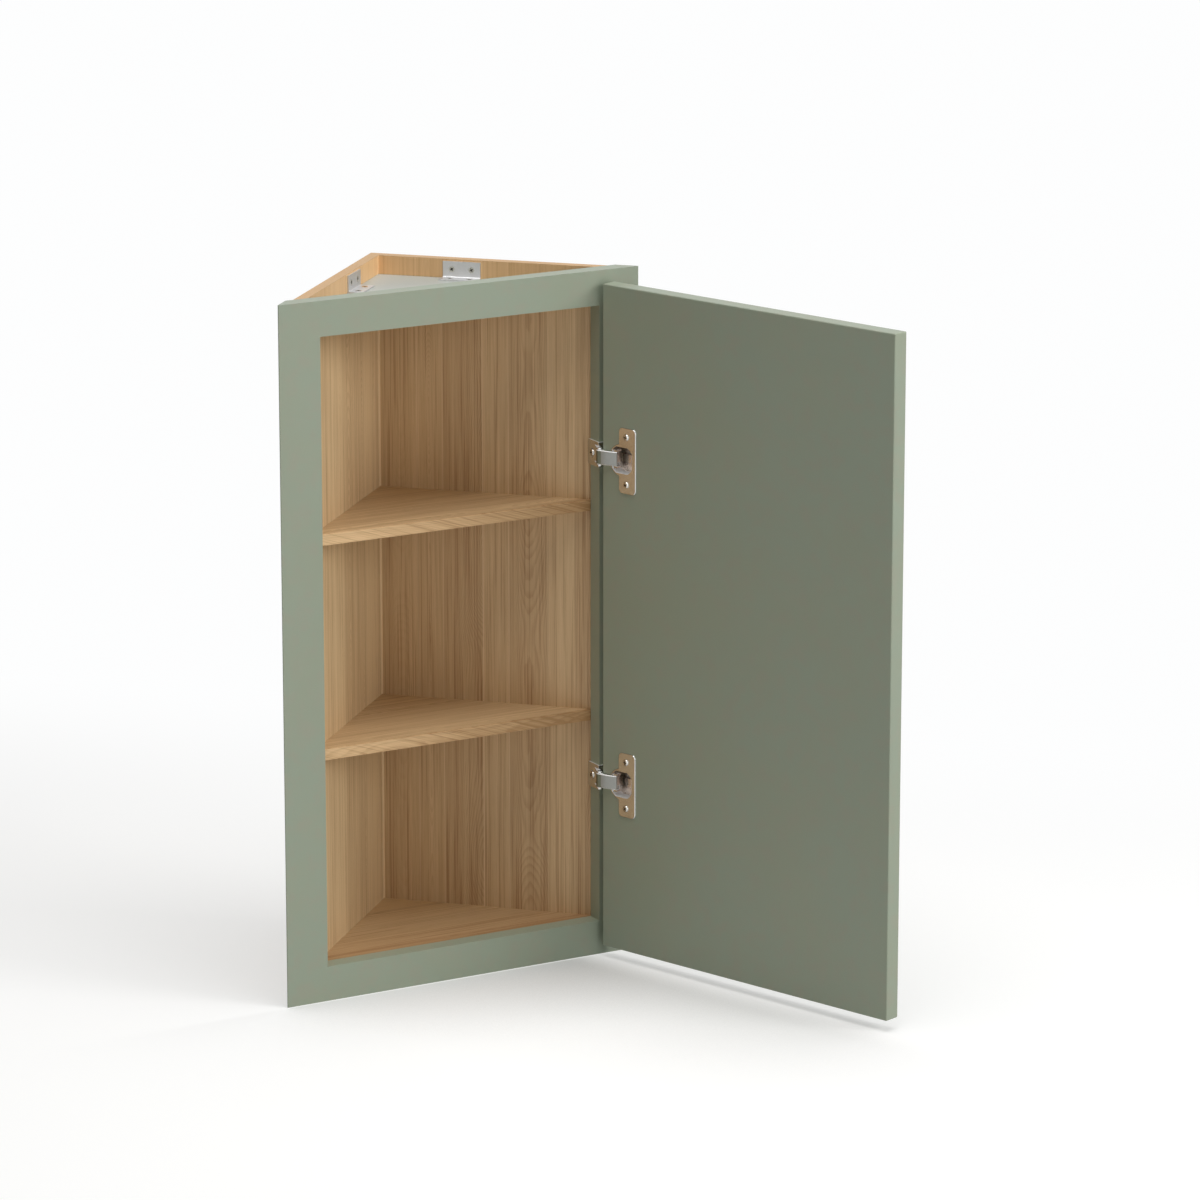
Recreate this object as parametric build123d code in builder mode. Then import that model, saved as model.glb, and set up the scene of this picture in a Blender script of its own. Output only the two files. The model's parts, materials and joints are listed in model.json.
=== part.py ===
from build123d import *
from math import atan2, cos, degrees, radians, sin, sqrt
import os

# A diagonal corner wall cabinet: two panels along the walls of a room's corner, a painted face
# frame across them, two fixed shelves, and one slab door on two concealed cup hinges.
#
# Row frame: the origin is the lower end of the corner line of the two wall panels' outer faces.
# The back panel lies along +X with its outer face on Y = 0, and the side panel lies along -Y
# with its outer face on X = 0. +Z is up. The door stands open, as it does in the photograph.

os.makedirs("parts", exist_ok=True)

# ---------------------------------------------------------------- driving dimensions, in mm
cabinet_leg = 304.8          # along each wall, over the ends of the face frame
cabinet_height = 762.0
frame_overhang = 6.35        # the face frame's ends stand this far proud of the panels

frame_thickness = 19.0
rail_height = 38.1
stile_width = 49.2           # measured on the front face, over the bevelled end
frame_arris = 0.8            # eased outer edge of each stile
frame_dowel_radius = 4.0
frame_dowel_length = 40.0
frame_dowel_pitch = 19.0

panel_thickness = 12.0
corner_rabbet_depth = 6.0    # cut in the back panel for the side panel's rear edge
dado_depth = 4.0             # grooves in the wall panels for the boards
board_thickness = 12.0       # top, bottom and both shelves
top_recess = 20.6            # the top board's upper face below the frame's top edge
shelf_count = 2
shelf_setback = 1.5          # behind the face frame
lipping_thickness = 3.0      # solid strip along each shelf's front edge

door_thickness = 19.0
door_side_overlay = 31.75
door_end_overlay = 25.4
door_edge_radius = 1.2
door_gap = 3.0               # between the closed door and the frame
door_open_angle = 109.3

hinge_spacing = 360.0        # between the two hinges' centres
open_corner_inset = 1.5      # open door's hinge-side corner, inside the opening's edge
open_corner_ahead = 10.0     # and in front of the face frame
knuckle_inset = 4.6          # frame-side pin, inside the opening's edge
knuckle_reach = 8.5          # and in front of the face frame
cup_pin_depth = 3.0          # door-side pin, below the door's inner face

pin_radius = 1.5
pin_head_radius = 2.3
pin_head_height = 0.6
running_clearance = 0.05     # radial, arm eye on pin
side_clearance = 0.25        # arm to the ears and lugs beside it

arm_height = 15.7
arm_sheet = 1.5
arm_eye_radius = 2.7
arm_rise = 4.8               # top of the arm's bend above the line of its pins
arm_bend_width = 2.5
arm_bend_start = 9.0         # the bend begins this far before the cup pin
arm_barrel_radius = 3.6      # rolled end of the arm round its frame-side pin
arm_shoulder = 2.2           # lower edge of the arm's cheeks below that pin's middle
arm_tip = 2.6                # the bend's top ends this far past the cup pin

plate_sheet = 1.6
plate_height = 27.5
plate_depth = 22.5           # behind the frame's front face
plate_corner_radius = 2.5
tab_reach = 7.5              # lip of the plate over the stile's front face
tab_sheet = 1.2
ear_root = 8.0               # the ears begin this far behind the frame's front face

cup_radius = 17.5            # bore in the door
cup_centre_inset = 28.0      # bore's centre from the door's hinge-side edge
cup_depth = 12.0             # inside the cup
cup_wall = 1.0
cup_seat_clearance = 0.1     # cup in its bore
cup_mouth_height = 28.7      # the cup's inside is cut flat above and below the arm
cup_mouth_reach = 14.7       # and past the bore's centre, on the side away from the arm
rim_radius = 18.0
wing_width = 24.0            # flat plate of the cup, on the door's inner face
wing_height = 72.0
wing_inset = 23.5            # its near edge, from the door's hinge-side edge
wing_corner_radius = 5.0
wing_sheet = 1.2
wing_edge_radius = 0.9       # rolled-over edge of the wings
lug_length = 7.5
lug_depth = 6.5
notch_depth = 8.2            # cut in the cup's wall for the arm
cup_screw_pitch = 52.0
cup_screw_offset = 6.0       # screws beyond the cup's centre

spring_sheet = 0.8
spring_width = 9.0
spring_length = 20.0
spring_lift = 1.2            # the bowed middle of the leaf above the cup's floor

frame_screw_back = 13.4      # behind the frame's front face
frame_screw_length = 22.0
frame_screw_radius = 2.0
frame_screw_head = 4.2
slot_length = 9.5
slot_clearance = 0.3

cup_screw_length = 14.0
cup_screw_radius = 1.8
cup_screw_head = 3.6

bracket_width = 42.0
bracket_wall_leg = 18.5
bracket_board_leg = 17.0
bracket_sheet = 1.5
bracket_bend_radius = 1.0
bracket_from_corner_side = 100.0   # bracket's centre from the cabinet's corner, side panel
bracket_from_corner_back = 106.0   # and back panel
bracket_screw_pitch = 22.0
bracket_screw_length = 11.5
bracket_screw_radius = 1.6
bracket_screw_head = 3.4

head_height = 1.4            # every screw head
recess_width = 0.9           # cross slots in the screw heads
recess_depth = 0.8
recess_share = 1.3           # length of a cross slot, in head radii
crown_share = 0.7            # flat top of a domed head, in head radii
tip_share = 0.25             # blunt end of a screw, in shank radii

# ---------------------------------------------------------------- worked-out places
root_two = sqrt(2)
face_half = cabinet_leg * root_two / 2
front = (cabinet_leg - 2 * frame_overhang) / root_two      # corner line to the frame's front
frame_back = front - frame_thickness
frame_middle = front - frame_thickness / 2
opening_edge = face_half - stile_width
top_rail_foot = cabinet_height - rail_height
panel_end = frame_back * root_two                          # panels' outer faces end here

top_board_foot = cabinet_height - top_recess - board_thickness
bottom_board_foot = rail_height - board_thickness
clear_height = (top_board_foot - rail_height - shelf_count * board_thickness) / (shelf_count + 1)
shelf_feet = [
    rail_height + clear_height + step * (clear_height + board_thickness)
    for step in range(shelf_count)
]
shelf_front = frame_back - shelf_setback

door_width = 2 * (opening_edge + door_side_overlay)
door_height = top_rail_foot - rail_height + 2 * door_end_overlay
door_foot = rail_height - door_end_overlay
hinge_heights = {
    "lower": cabinet_height / 2 - hinge_spacing / 2,
    "upper": cabinet_height / 2 + hinge_spacing / 2,
}

UP = (0, 0, 1)
DOWN = (0, 0, -1)


def plan(along, out):
    """Row X and Y of a place given along the face frame and out from the corner line."""
    return Vector((along + out) / root_two, (along - out) / root_two)


ALONG = plan(1, 0)           # along the face frame, towards the back panel
OUT = plan(0, 1)             # out of the cabinet's front

# ---------------------------------------------------------------- the hinges' motion
# All in the plan of the face: first along the frame, then out from the corner line. Each arm
# turns on the frame plate's pin and the door turns on the arm's far pin. The far pin's place in
# the door follows from the door's closed and open places, so that one arm reaches both.
closed_corner = Vector(door_width / 2, front + door_gap)
open_corner = Vector(opening_edge - open_corner_inset, front + open_corner_ahead)
knuckle = Vector(opening_edge - knuckle_inset, front + knuckle_reach)

swing = radians(door_open_angle)
closed_across = Vector(-1, 0)                 # hinge edge to free edge
closed_inward = Vector(0, 1)                  # inner face to outer face
open_across = Vector(-cos(swing), sin(swing))
open_inward = Vector(sin(swing), cos(swing))

from_closed = closed_corner - knuckle
from_open = open_corner - knuckle
cup_pin_inset = (
    from_closed.dot(from_closed)
    - from_open.dot(from_open)
    - 2 * cup_pin_depth * (from_open.dot(open_inward) - from_closed.dot(closed_inward))
) / (2 * (from_open.dot(open_across) - from_closed.dot(closed_across)))
arm_closed = from_closed + closed_across * cup_pin_inset + closed_inward * cup_pin_depth
arm_open = from_open + open_across * cup_pin_inset + open_inward * cup_pin_depth
arm_length = arm_open.length
arm_swing = degrees(atan2(arm_open.Y, arm_open.X) - atan2(arm_closed.Y, arm_closed.X))

arm_half = arm_height / 2
ear_near = arm_half + side_clearance
ear_far = ear_near + plate_sheet

# ---------------------------------------------------------------- planes
door_corner = plan(open_corner.X, open_corner.Y)
door_across = plan(open_across.X, open_across.Y)
door_inward = plan(open_inward.X, open_inward.Y)
knuckle_place = plan(knuckle.X, knuckle.Y)
arm_direction = plan(arm_open.X, arm_open.Y).normalized()
cup_pin_place = knuckle_place + arm_direction * arm_length


def face_plan(height):
    """Plan plane whose x runs along the frame and whose y runs out of the front."""
    return Plane(origin=(0, 0, height), x_dir=ALONG, z_dir=DOWN)


def door_plan(height):
    """Plan plane of the open door: x from its hinge edge, y from its inner face outwards."""
    return Plane(origin=door_corner + Vector(0, 0, height), x_dir=door_across, z_dir=UP)


def door_face(height):
    """Inner face of the open door: x from its hinge edge, y up, z out of the inner face."""
    return Plane(
        origin=door_corner + Vector(0, 0, height), x_dir=door_across, z_dir=door_inward * -1
    )


def arm_plan(height):
    """Plan plane of an arm: x from the frame-side pin to the door-side pin."""
    return Plane(origin=knuckle_place + Vector(0, 0, height), x_dir=arm_direction, z_dir=DOWN)


def screw_places(plane, points):
    """Planes at the points of a plane, each with its z along the screw, out of its head."""
    return [
        Plane(origin=plane.from_local_coords(point), x_dir=plane.x_dir, z_dir=plane.z_dir)
        for point in points
    ]


frame_screw_places = [
    Plane(
        origin=plan(opening_edge - plate_sheet, front - frame_screw_back) + Vector(0, 0, height),
        x_dir=UP,
        z_dir=ALONG * -1,
    )
    for height in hinge_heights.values()
]
cup_screw_inset = cup_centre_inset + cup_screw_offset
cup_screw_places = [
    place
    for height in hinge_heights.values()
    for place in screw_places(
        door_face(height),
        [
            (cup_screw_inset, step * cup_screw_pitch / 2, wing_sheet)
            for step in (-1, 1)
        ],
    )
]

# Each bracket's plane: x along the wall panel, y up, z off the panel's inner face.
top_board_face = top_board_foot + board_thickness
bracket_planes = {
    "side": Plane(
        origin=(panel_thickness, -bracket_from_corner_side, top_board_face),
        x_dir=(0, 1, 0),
        z_dir=(1, 0, 0),
    ),
    "back": Plane(
        origin=(bracket_from_corner_back, -panel_thickness, top_board_face),
        x_dir=(1, 0, 0),
        z_dir=(0, -1, 0),
    ),
}
bracket_steps = [-bracket_screw_pitch / 2, bracket_screw_pitch / 2]
wall_screw_places = {
    side: screw_places(
        plane,
        [(step, (bracket_wall_leg + bracket_sheet) / 2, bracket_sheet) for step in bracket_steps],
    )
    for side, plane in bracket_planes.items()
}
board_screw_places = [
    Plane(
        origin=plane.from_local_coords(
            (step, bracket_sheet, (bracket_board_leg + bracket_sheet) / 2)
        ),
        x_dir=plane.x_dir,
        z_dir=UP,
    )
    for plane in bracket_planes.values()
    for step in bracket_steps
]


# ---------------------------------------------------------------- shared shapes
def board_outline(front_line):
    """Corners of a board that fills the corner up to front_line and sits in the dadoes."""
    inset = panel_thickness - dado_depth
    reach = front_line * root_two - inset
    return [(inset, -inset), (inset, -reach), (reach, -inset)]


def add_screw(place, head_radius, shank_radius, length, countersunk):
    """A cross-head wood screw; place is on its head's seat face, or on top if countersunk."""
    lift = 0 if countersunk else head_height
    foot = head_radius if not countersunk else shank_radius
    crown = head_radius if countersunk else head_radius * crown_share
    top = Plane(origin=place.origin + place.z_dir * lift, x_dir=place.x_dir, z_dir=place.z_dir)
    shank = length - 2 * shank_radius - (head_height if countersunk else 0)
    with Locations(top):
        Cone(foot, crown, head_height, align=(Align.CENTER, Align.CENTER, Align.MAX))
        for turn in (0, 90):
            Box(
                head_radius * recess_share,
                recess_width,
                2 * recess_depth,
                rotation=(0, 0, turn),
                mode=Mode.SUBTRACT,
            )
    with Locations(top.offset(-head_height)):
        Cylinder(shank_radius, shank, align=(Align.CENTER, Align.CENTER, Align.MAX))
    with Locations(top.offset(-head_height - shank)):
        Cone(
            shank_radius * tip_share,
            shank_radius,
            2 * shank_radius,
            align=(Align.CENTER, Align.CENTER, Align.MAX),
        )


def cut_screw_hole(place, shank_radius, length):
    """Hole that a screw of that shank fills, from its place's face down."""
    with Locations(place):
        Cylinder(
            shank_radius,
            length,
            align=(Align.CENTER, Align.CENTER, Align.MAX),
            mode=Mode.SUBTRACT,
        )


def finish(piece, node):
    """Names a piece after its node and writes its STEP."""
    piece.part.label = node
    export_step(piece.part, f"parts/{node}.step")
    print(f"{node}: {len(piece.part.solids())} solid(s), {piece.part.volume:.0f} mm3")


# ---------------------------------------------------------------- boards and shelves
# Foot and front line of every board, by its node's name.
boards = {
    "bottom_board": (bottom_board_foot, frame_back),
    "top_board": (top_board_foot, frame_back),
}
for step, foot in enumerate(shelf_feet, start=1):
    boards[f"shelf_{step}"] = (foot, shelf_front - lipping_thickness)

for node, (foot, front_line) in boards.items():
    with BuildPart() as board:
        with BuildSketch(Plane.XY.offset(foot)):
            Polygon(*board_outline(front_line), align=None)
        extrude(amount=board_thickness)
        if node == "top_board":
            for place in board_screw_places:
                cut_screw_hole(place, bracket_screw_radius, bracket_screw_length)
    finish(board, node)

for step, foot in enumerate(shelf_feet, start=1):
    with BuildPart() as lipping:
        with BuildSketch(Plane.XY.offset(foot)):
            near = (shelf_front - lipping_thickness) * root_two - panel_thickness
            far = shelf_front * root_two - panel_thickness
            Polygon(
                (near, -panel_thickness),
                (far, -panel_thickness),
                (panel_thickness, -far),
                (panel_thickness, -near),
                align=None,
            )
        extrude(amount=board_thickness)
    finish(lipping, f"shelf_{step}_lipping")

# ---------------------------------------------------------------- wall panels
rabbet_line = panel_thickness - corner_rabbet_depth
panel_outlines = {
    "back_panel": [
        (0, 0),
        (0, -rabbet_line),
        (panel_thickness, -rabbet_line),
        (panel_thickness, -panel_thickness),
        (panel_end - panel_thickness, -panel_thickness),
        (panel_end, 0),
    ],
    "side_panel": [
        (0, -rabbet_line),
        (0, -panel_end),
        (panel_thickness, -(panel_end - panel_thickness)),
        (panel_thickness, -rabbet_line),
    ],
}
for node, outline in panel_outlines.items():
    with BuildPart() as panel:
        with BuildSketch(Plane.XY):
            Polygon(*outline, align=None)
        extrude(amount=cabinet_height)
        for foot, front_line in boards.values():
            with BuildSketch(Plane.XY.offset(foot)):
                Polygon(*board_outline(front_line), align=None)
            extrude(amount=board_thickness, mode=Mode.SUBTRACT)
        for place in wall_screw_places[node.split("_")[0]]:
            cut_screw_hole(place, bracket_screw_radius, bracket_screw_length)
    finish(panel, node)

# ---------------------------------------------------------------- face frame
frame_dowel_places = [
    Plane(
        origin=plan(end * opening_edge, frame_middle) + Vector(0, 0, middle + step),
        x_dir=UP,
        z_dir=ALONG,
    )
    for end in (-1, 1)
    for middle in (rail_height / 2, cabinet_height - rail_height / 2)
    for step in (-frame_dowel_pitch / 2, frame_dowel_pitch / 2)
]


def cut_dowel_holes():
    """Bores of all the frame's dowels, taken out of the piece being built."""
    with Locations(*frame_dowel_places):
        Cylinder(frame_dowel_radius, frame_dowel_length, mode=Mode.SUBTRACT)


bevel_front = frame_overhang * root_two + front
bevel_back = frame_overhang * root_two + frame_back
for node, end in (("left_stile", -1), ("right_stile", 1)):
    with BuildPart() as stile:
        with BuildSketch(face_plan(0)):
            Polygon(
                (end * opening_edge, front),
                (end * bevel_front, front),
                (end * bevel_back, frame_back),
                (end * opening_edge, frame_back),
                align=None,
            )
        extrude(amount=cabinet_height, dir=UP)
        outer = stile.edges().filter_by(Axis.Z).sort_by(Axis(plan(0, front), ALONG * end))[-1]
        fillet(outer, frame_arris)
        cut_dowel_holes()
        if end > 0:
            for place in frame_screw_places:
                cut_screw_hole(place, frame_screw_radius, frame_screw_length)
    finish(stile, node)

for node, foot in (("bottom_rail", 0), ("top_rail", top_rail_foot)):
    with BuildPart() as rail:
        with BuildSketch(face_plan(foot)):
            with Locations((0, frame_middle)):
                Rectangle(2 * opening_edge, frame_thickness)
        extrude(amount=rail_height, dir=UP)
        cut_dowel_holes()
    finish(rail, node)

with BuildPart() as frame_dowels:
    with Locations(*frame_dowel_places):
        Cylinder(frame_dowel_radius, frame_dowel_length)
finish(frame_dowels, "frame_dowels")

# ---------------------------------------------------------------- corner brackets
for side, plane in bracket_planes.items():
    end_plane = Plane(
        origin=plane.from_local_coords((bracket_width / 2, 0, 0)),
        x_dir=plane.z_dir,
        z_dir=plane.x_dir * -1,
    )
    with BuildPart() as bracket:
        with BuildSketch(end_plane):
            Polygon(
                (0, 0),
                (bracket_board_leg, 0),
                (bracket_board_leg, bracket_sheet),
                (bracket_sheet, bracket_sheet),
                (bracket_sheet, bracket_wall_leg),
                (0, bracket_wall_leg),
                align=None,
            )
        extrude(amount=bracket_width)
        fold = bracket.edges().filter_by(Axis((0, 0, 0), plane.x_dir))
        inner = fold.sort_by_distance(plane.from_local_coords((0, bracket_sheet, bracket_sheet)))[0]
        fillet(inner, bracket_bend_radius)
        for place in wall_screw_places[side] + board_screw_places:
            with Locations(place):
                Cone(
                    bracket_screw_radius,
                    bracket_screw_head,
                    head_height,
                    align=(Align.CENTER, Align.CENTER, Align.MAX),
                    mode=Mode.SUBTRACT,
                )
            cut_screw_hole(place, bracket_screw_radius, bracket_screw_length)
    finish(bracket, f"{side}_bracket")

with BuildPart() as bracket_screws:
    for place in wall_screw_places["side"] + wall_screw_places["back"] + board_screw_places:
        add_screw(place, bracket_screw_head, bracket_screw_radius, bracket_screw_length, True)
finish(bracket_screws, "bracket_screws")

# ---------------------------------------------------------------- door
bore_depth = cup_depth + cup_wall
with BuildPart() as door_panel:
    with BuildSketch(door_plan(door_foot)):
        Rectangle(door_width, door_thickness, align=(Align.MIN, Align.MIN))
    extrude(amount=door_height)
    fillet(door_panel.edges(), door_edge_radius)
    for height in hinge_heights.values():
        with BuildSketch(door_face(height)):
            with Locations((cup_centre_inset, 0)):
                Circle(cup_radius)
        extrude(amount=-bore_depth, mode=Mode.SUBTRACT)
    for place in cup_screw_places:
        cut_screw_hole(place, cup_screw_radius, cup_screw_length)
finish(door_panel, "door_panel")

# ---------------------------------------------------------------- hinges
ear_outline = [
    (opening_edge, front - ear_root),
    (opening_edge, front + tab_sheet),
    (knuckle.X + arm_eye_radius, knuckle.Y),
    (knuckle.X - arm_eye_radius, knuckle.Y),
    (opening_edge - plate_sheet, front - ear_root),
]
arm_top = [
    (0, arm_barrel_radius),
    (arm_length - arm_bend_start, arm_rise),
    (arm_length + arm_tip, arm_rise),
]
arm_outline = arm_top + [
    (arm_length + arm_eye_radius, 0),
    (arm_length - arm_eye_radius, 0),
    (arm_length - arm_eye_radius, arm_rise - arm_bend_width),
    (arm_length - arm_bend_start, arm_rise - arm_bend_width),
    (0, -arm_shoulder),
    (-arm_eye_radius, 0),
]
web_foot = [(x, y - arm_sheet) for x, y in reversed(arm_top)]

# A cup's wings and rim in one sheet, rolled over at the edge. It lies on the door's face, where x
# runs from the door's hinge edge and z off the face.
with BuildPart() as wings:
    with BuildSketch():
        with Locations((wing_inset, 0)):
            RectangleRounded(
                wing_width, wing_height, wing_corner_radius, align=(Align.MIN, Align.CENTER)
            )
        with Locations((cup_centre_inset, 0)):
            Circle(rim_radius)
    extrude(amount=wing_sheet)
    fillet(wings.faces().sort_by(Axis.Z)[-1].edges(), wing_edge_radius)

for side, height in hinge_heights.items():
    # The plate on the stile's inner edge, with a lip over the front face and two pin ears.
    with BuildPart() as frame_plate:
        with BuildSketch(face_plan(height)):
            with Locations((opening_edge, front)):
                Rectangle(plate_sheet, plate_depth, align=(Align.MAX, Align.MAX))
                Rectangle(plate_sheet, tab_sheet, align=(Align.MAX, Align.MIN))
                Rectangle(tab_reach, tab_sheet, align=(Align.MIN, Align.MIN))
        extrude(amount=plate_height / 2, both=True)
        cross_edges = frame_plate.edges().filter_by(Axis((0, 0, 0), ALONG))
        fillet(cross_edges.sort_by(Axis((0, 0, 0), OUT))[:2], plate_corner_radius)
        for level in (-1, 1):
            with BuildSketch(face_plan(height + level * (ear_near + plate_sheet / 2))):
                Polygon(*ear_outline, align=None)
                with Locations(knuckle):
                    Circle(arm_eye_radius)
            extrude(amount=plate_sheet / 2, both=True)
        with Locations(Plane(origin=knuckle_place + Vector(0, 0, height))):
            Cylinder(pin_radius, plate_height, mode=Mode.SUBTRACT)
        with BuildSketch(
            Plane(
                origin=plan(opening_edge, front - frame_screw_back) + Vector(0, 0, height),
                x_dir=UP,
                z_dir=ALONG * -1,
            )
        ):
            SlotOverall(slot_length, 2 * (frame_screw_radius + slot_clearance))
        extrude(amount=plate_sheet, mode=Mode.SUBTRACT)
    finish(frame_plate, f"{side}_hinge_frame_plate")

    # The riveted pin through the plate's ears.
    with BuildPart() as knuckle_pin:
        with Locations(Plane(origin=knuckle_place + Vector(0, 0, height))):
            Cylinder(pin_radius, 2 * ear_far)
        for level in (-1, 1):
            head_middle = height + level * (ear_far + pin_head_height / 2)
            with Locations(Plane(origin=knuckle_place + Vector(0, 0, head_middle))):
                Cylinder(pin_head_radius, pin_head_height)
    finish(knuckle_pin, f"{side}_hinge_knuckle_pin")

    # The arm: two bent cheeks and the web that joins them, rolled into a barrel at one end.
    with BuildPart() as arm:
        for level in (-1, 1):
            with BuildSketch(arm_plan(height + level * (arm_half - arm_sheet / 2))):
                Polygon(*arm_outline, align=None)
                with Locations((0, 0), (arm_length, 0)):
                    Circle(arm_eye_radius)
            extrude(amount=arm_sheet / 2, both=True)
        with BuildSketch(arm_plan(height)):
            Polygon(*arm_top, *web_foot, align=None)
            Circle(arm_barrel_radius)
        extrude(amount=arm_half, both=True)
        for place in (knuckle_place, cup_pin_place):
            with Locations(Plane(origin=place + Vector(0, 0, height))):
                Cylinder(pin_radius + running_clearance, plate_height, mode=Mode.SUBTRACT)
    finish(arm, f"{side}_hinge_arm")

    # The cup with its flat wings, the arm's notch and the two lugs that hold the pin.
    cup_plane = door_face(height)
    with BuildPart() as cup:
        add(cup_plane.location * wings.part)
        with BuildSketch(cup_plane):
            with Locations((cup_centre_inset, 0)):
                Circle(cup_radius - cup_seat_clearance)
        extrude(amount=-(cup_depth + cup_wall - cup_seat_clearance))
        with BuildSketch(cup_plane.offset(wing_sheet)):
            with Locations((cup_centre_inset, 0)):
                Circle(cup_radius - cup_wall)
            with Locations((cup_centre_inset + cup_mouth_reach, 0)):
                Rectangle(
                    2 * cup_radius,
                    cup_mouth_height,
                    align=(Align.MAX, Align.CENTER),
                    mode=Mode.INTERSECT,
                )
        extrude(amount=-(cup_depth + wing_sheet), mode=Mode.SUBTRACT)
        with BuildSketch(cup_plane.offset(wing_sheet)):
            Rectangle(cup_pin_inset, 2 * ear_near, align=(Align.MIN, Align.CENTER))
        extrude(amount=-(notch_depth + wing_sheet), mode=Mode.SUBTRACT)
        for level in (-1, 1):
            lug_middle = level * (ear_near + plate_sheet / 2)
            with BuildSketch(cup_plane):
                with Locations((cup_pin_inset, lug_middle)):
                    Rectangle(lug_length, plate_sheet)
                with Locations((cup_centre_inset, 0)):
                    Circle(cup_radius - cup_seat_clearance, mode=Mode.INTERSECT)
            extrude(amount=-lug_depth)
        with Locations(Plane(origin=cup_pin_place + Vector(0, 0, height))):
            Cylinder(pin_radius, 2 * ear_far, mode=Mode.SUBTRACT)
        for place in cup_screw_places:
            with Locations(place):
                Cylinder(
                    cup_screw_radius + slot_clearance,
                    2 * wing_sheet,
                    mode=Mode.SUBTRACT,
                )
    finish(cup, f"{side}_hinge_cup")

    with BuildPart() as cup_pin:
        with Locations(Plane(origin=cup_pin_place + Vector(0, 0, height))):
            Cylinder(pin_radius, 2 * ear_far)
    finish(cup_pin, f"{side}_hinge_cup_pin")

    # The bowed closing spring that lies on the cup's floor.
    with BuildPart() as spring:
        with BuildSketch(door_plan(height)):
            with BuildLine():
                bow = ThreePointArc(
                    (cup_centre_inset - spring_length / 2, cup_depth - spring_sheet),
                    (cup_centre_inset, cup_depth - spring_sheet - spring_lift),
                    (cup_centre_inset + spring_length / 2, cup_depth - spring_sheet),
                )
                offset(bow, amount=-spring_sheet / 2)
            make_face()
        extrude(amount=spring_width / 2, both=True)
    finish(spring, f"{side}_hinge_spring")

with BuildPart() as frame_plate_screws:
    for place in frame_screw_places:
        add_screw(place, frame_screw_head, frame_screw_radius, frame_screw_length, False)
finish(frame_plate_screws, "frame_plate_screws")

with BuildPart() as cup_screws:
    for place in cup_screw_places:
        add_screw(place, cup_screw_head, cup_screw_radius, cup_screw_length, False)
finish(cup_screws, "cup_screws")

print(f"face width {2 * face_half:.2f}, front at {front:.2f}, door {door_width:.2f} x {door_height:.2f}")
print(f"knuckle pin {knuckle_place.X:.3f} {knuckle_place.Y:.3f}")
print(f"cup pin {cup_pin_place.X:.3f} {cup_pin_place.Y:.3f}, {cup_pin_inset:.2f} from the door's edge")
print(f"arm {arm_length:.2f} long, turns {arm_swing:.3f} degrees while the door turns {door_open_angle}")
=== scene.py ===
"""Looks of a diagonal corner wall cabinet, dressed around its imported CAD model.

Lengths are in metres and +Z is up, in the CAD model's own frame: the origin is the lower end of
the corner line, the back panel lies along +X and the side panel along -Y. The face frame runs
along ALONG and faces OUT.
"""
import json
import logging
from collections.abc import Callable
from dataclasses import dataclass, field
from enum import Enum
from math import pi, radians, sqrt
from typing import Any, NamedTuple

import bmesh
import bpy
import numpy as np
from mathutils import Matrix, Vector

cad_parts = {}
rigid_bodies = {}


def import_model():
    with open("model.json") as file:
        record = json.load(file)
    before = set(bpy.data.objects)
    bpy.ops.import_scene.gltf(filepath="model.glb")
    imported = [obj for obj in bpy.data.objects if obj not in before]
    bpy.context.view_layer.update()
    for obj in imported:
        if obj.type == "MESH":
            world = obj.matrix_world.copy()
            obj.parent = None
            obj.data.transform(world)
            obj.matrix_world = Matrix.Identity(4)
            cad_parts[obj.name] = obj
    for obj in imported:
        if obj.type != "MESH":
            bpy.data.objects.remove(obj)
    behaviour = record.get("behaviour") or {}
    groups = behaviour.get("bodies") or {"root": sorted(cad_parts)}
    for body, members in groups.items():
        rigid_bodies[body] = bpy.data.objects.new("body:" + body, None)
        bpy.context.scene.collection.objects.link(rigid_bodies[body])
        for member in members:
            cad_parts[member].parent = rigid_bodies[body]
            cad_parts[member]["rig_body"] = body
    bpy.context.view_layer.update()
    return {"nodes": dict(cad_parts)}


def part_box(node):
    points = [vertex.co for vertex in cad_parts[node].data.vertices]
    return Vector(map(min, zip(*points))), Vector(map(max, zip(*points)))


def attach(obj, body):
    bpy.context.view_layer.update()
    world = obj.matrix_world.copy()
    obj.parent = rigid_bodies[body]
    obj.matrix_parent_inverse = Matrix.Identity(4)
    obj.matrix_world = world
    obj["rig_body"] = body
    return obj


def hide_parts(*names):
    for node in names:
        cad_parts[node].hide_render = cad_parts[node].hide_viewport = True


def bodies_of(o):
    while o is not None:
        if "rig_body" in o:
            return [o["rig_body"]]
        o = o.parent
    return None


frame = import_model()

log = logging.getLogger("corner_cabinet")

MM = 0.001
WELD = 0.001 * MM                      # vertices of a CAD copy nearer than this are one
FLAT_ANGLE = radians(0.5)              # faces that bend less than this are one
SHARP_ANGLE = radians(40)              # edges that bend more than this are rounded
EASING_STEPS = 3                       # facets of a rounded edge

RIGHT = (1.0, 0.0, 0.0)
AHEAD = (0.0, 1.0, 0.0)
UP = (0.0, 0.0, 1.0)
ALONG = (1 / sqrt(2), 1 / sqrt(2), 0.0)    # along the face frame, towards the back panel
OUT = (1 / sqrt(2), -1 / sqrt(2), 0.0)     # out of the cabinet's front

Axis = tuple[float, float, float]
Shade = tuple[float, float, float, float]

ROOM_WHITE: Shade = (0.985, 0.988, 0.99, 1.0)


def screen(red: int, green: int, blue: int) -> Shade:
    """Scene colour of an 8-bit screen colour."""
    parts = (part / 255 for part in (red, green, blue))
    return (*(p / 12.92 if p <= 0.04045 else ((p + 0.055) / 1.055) ** 2.4 for p in parts), 1.0)


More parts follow.
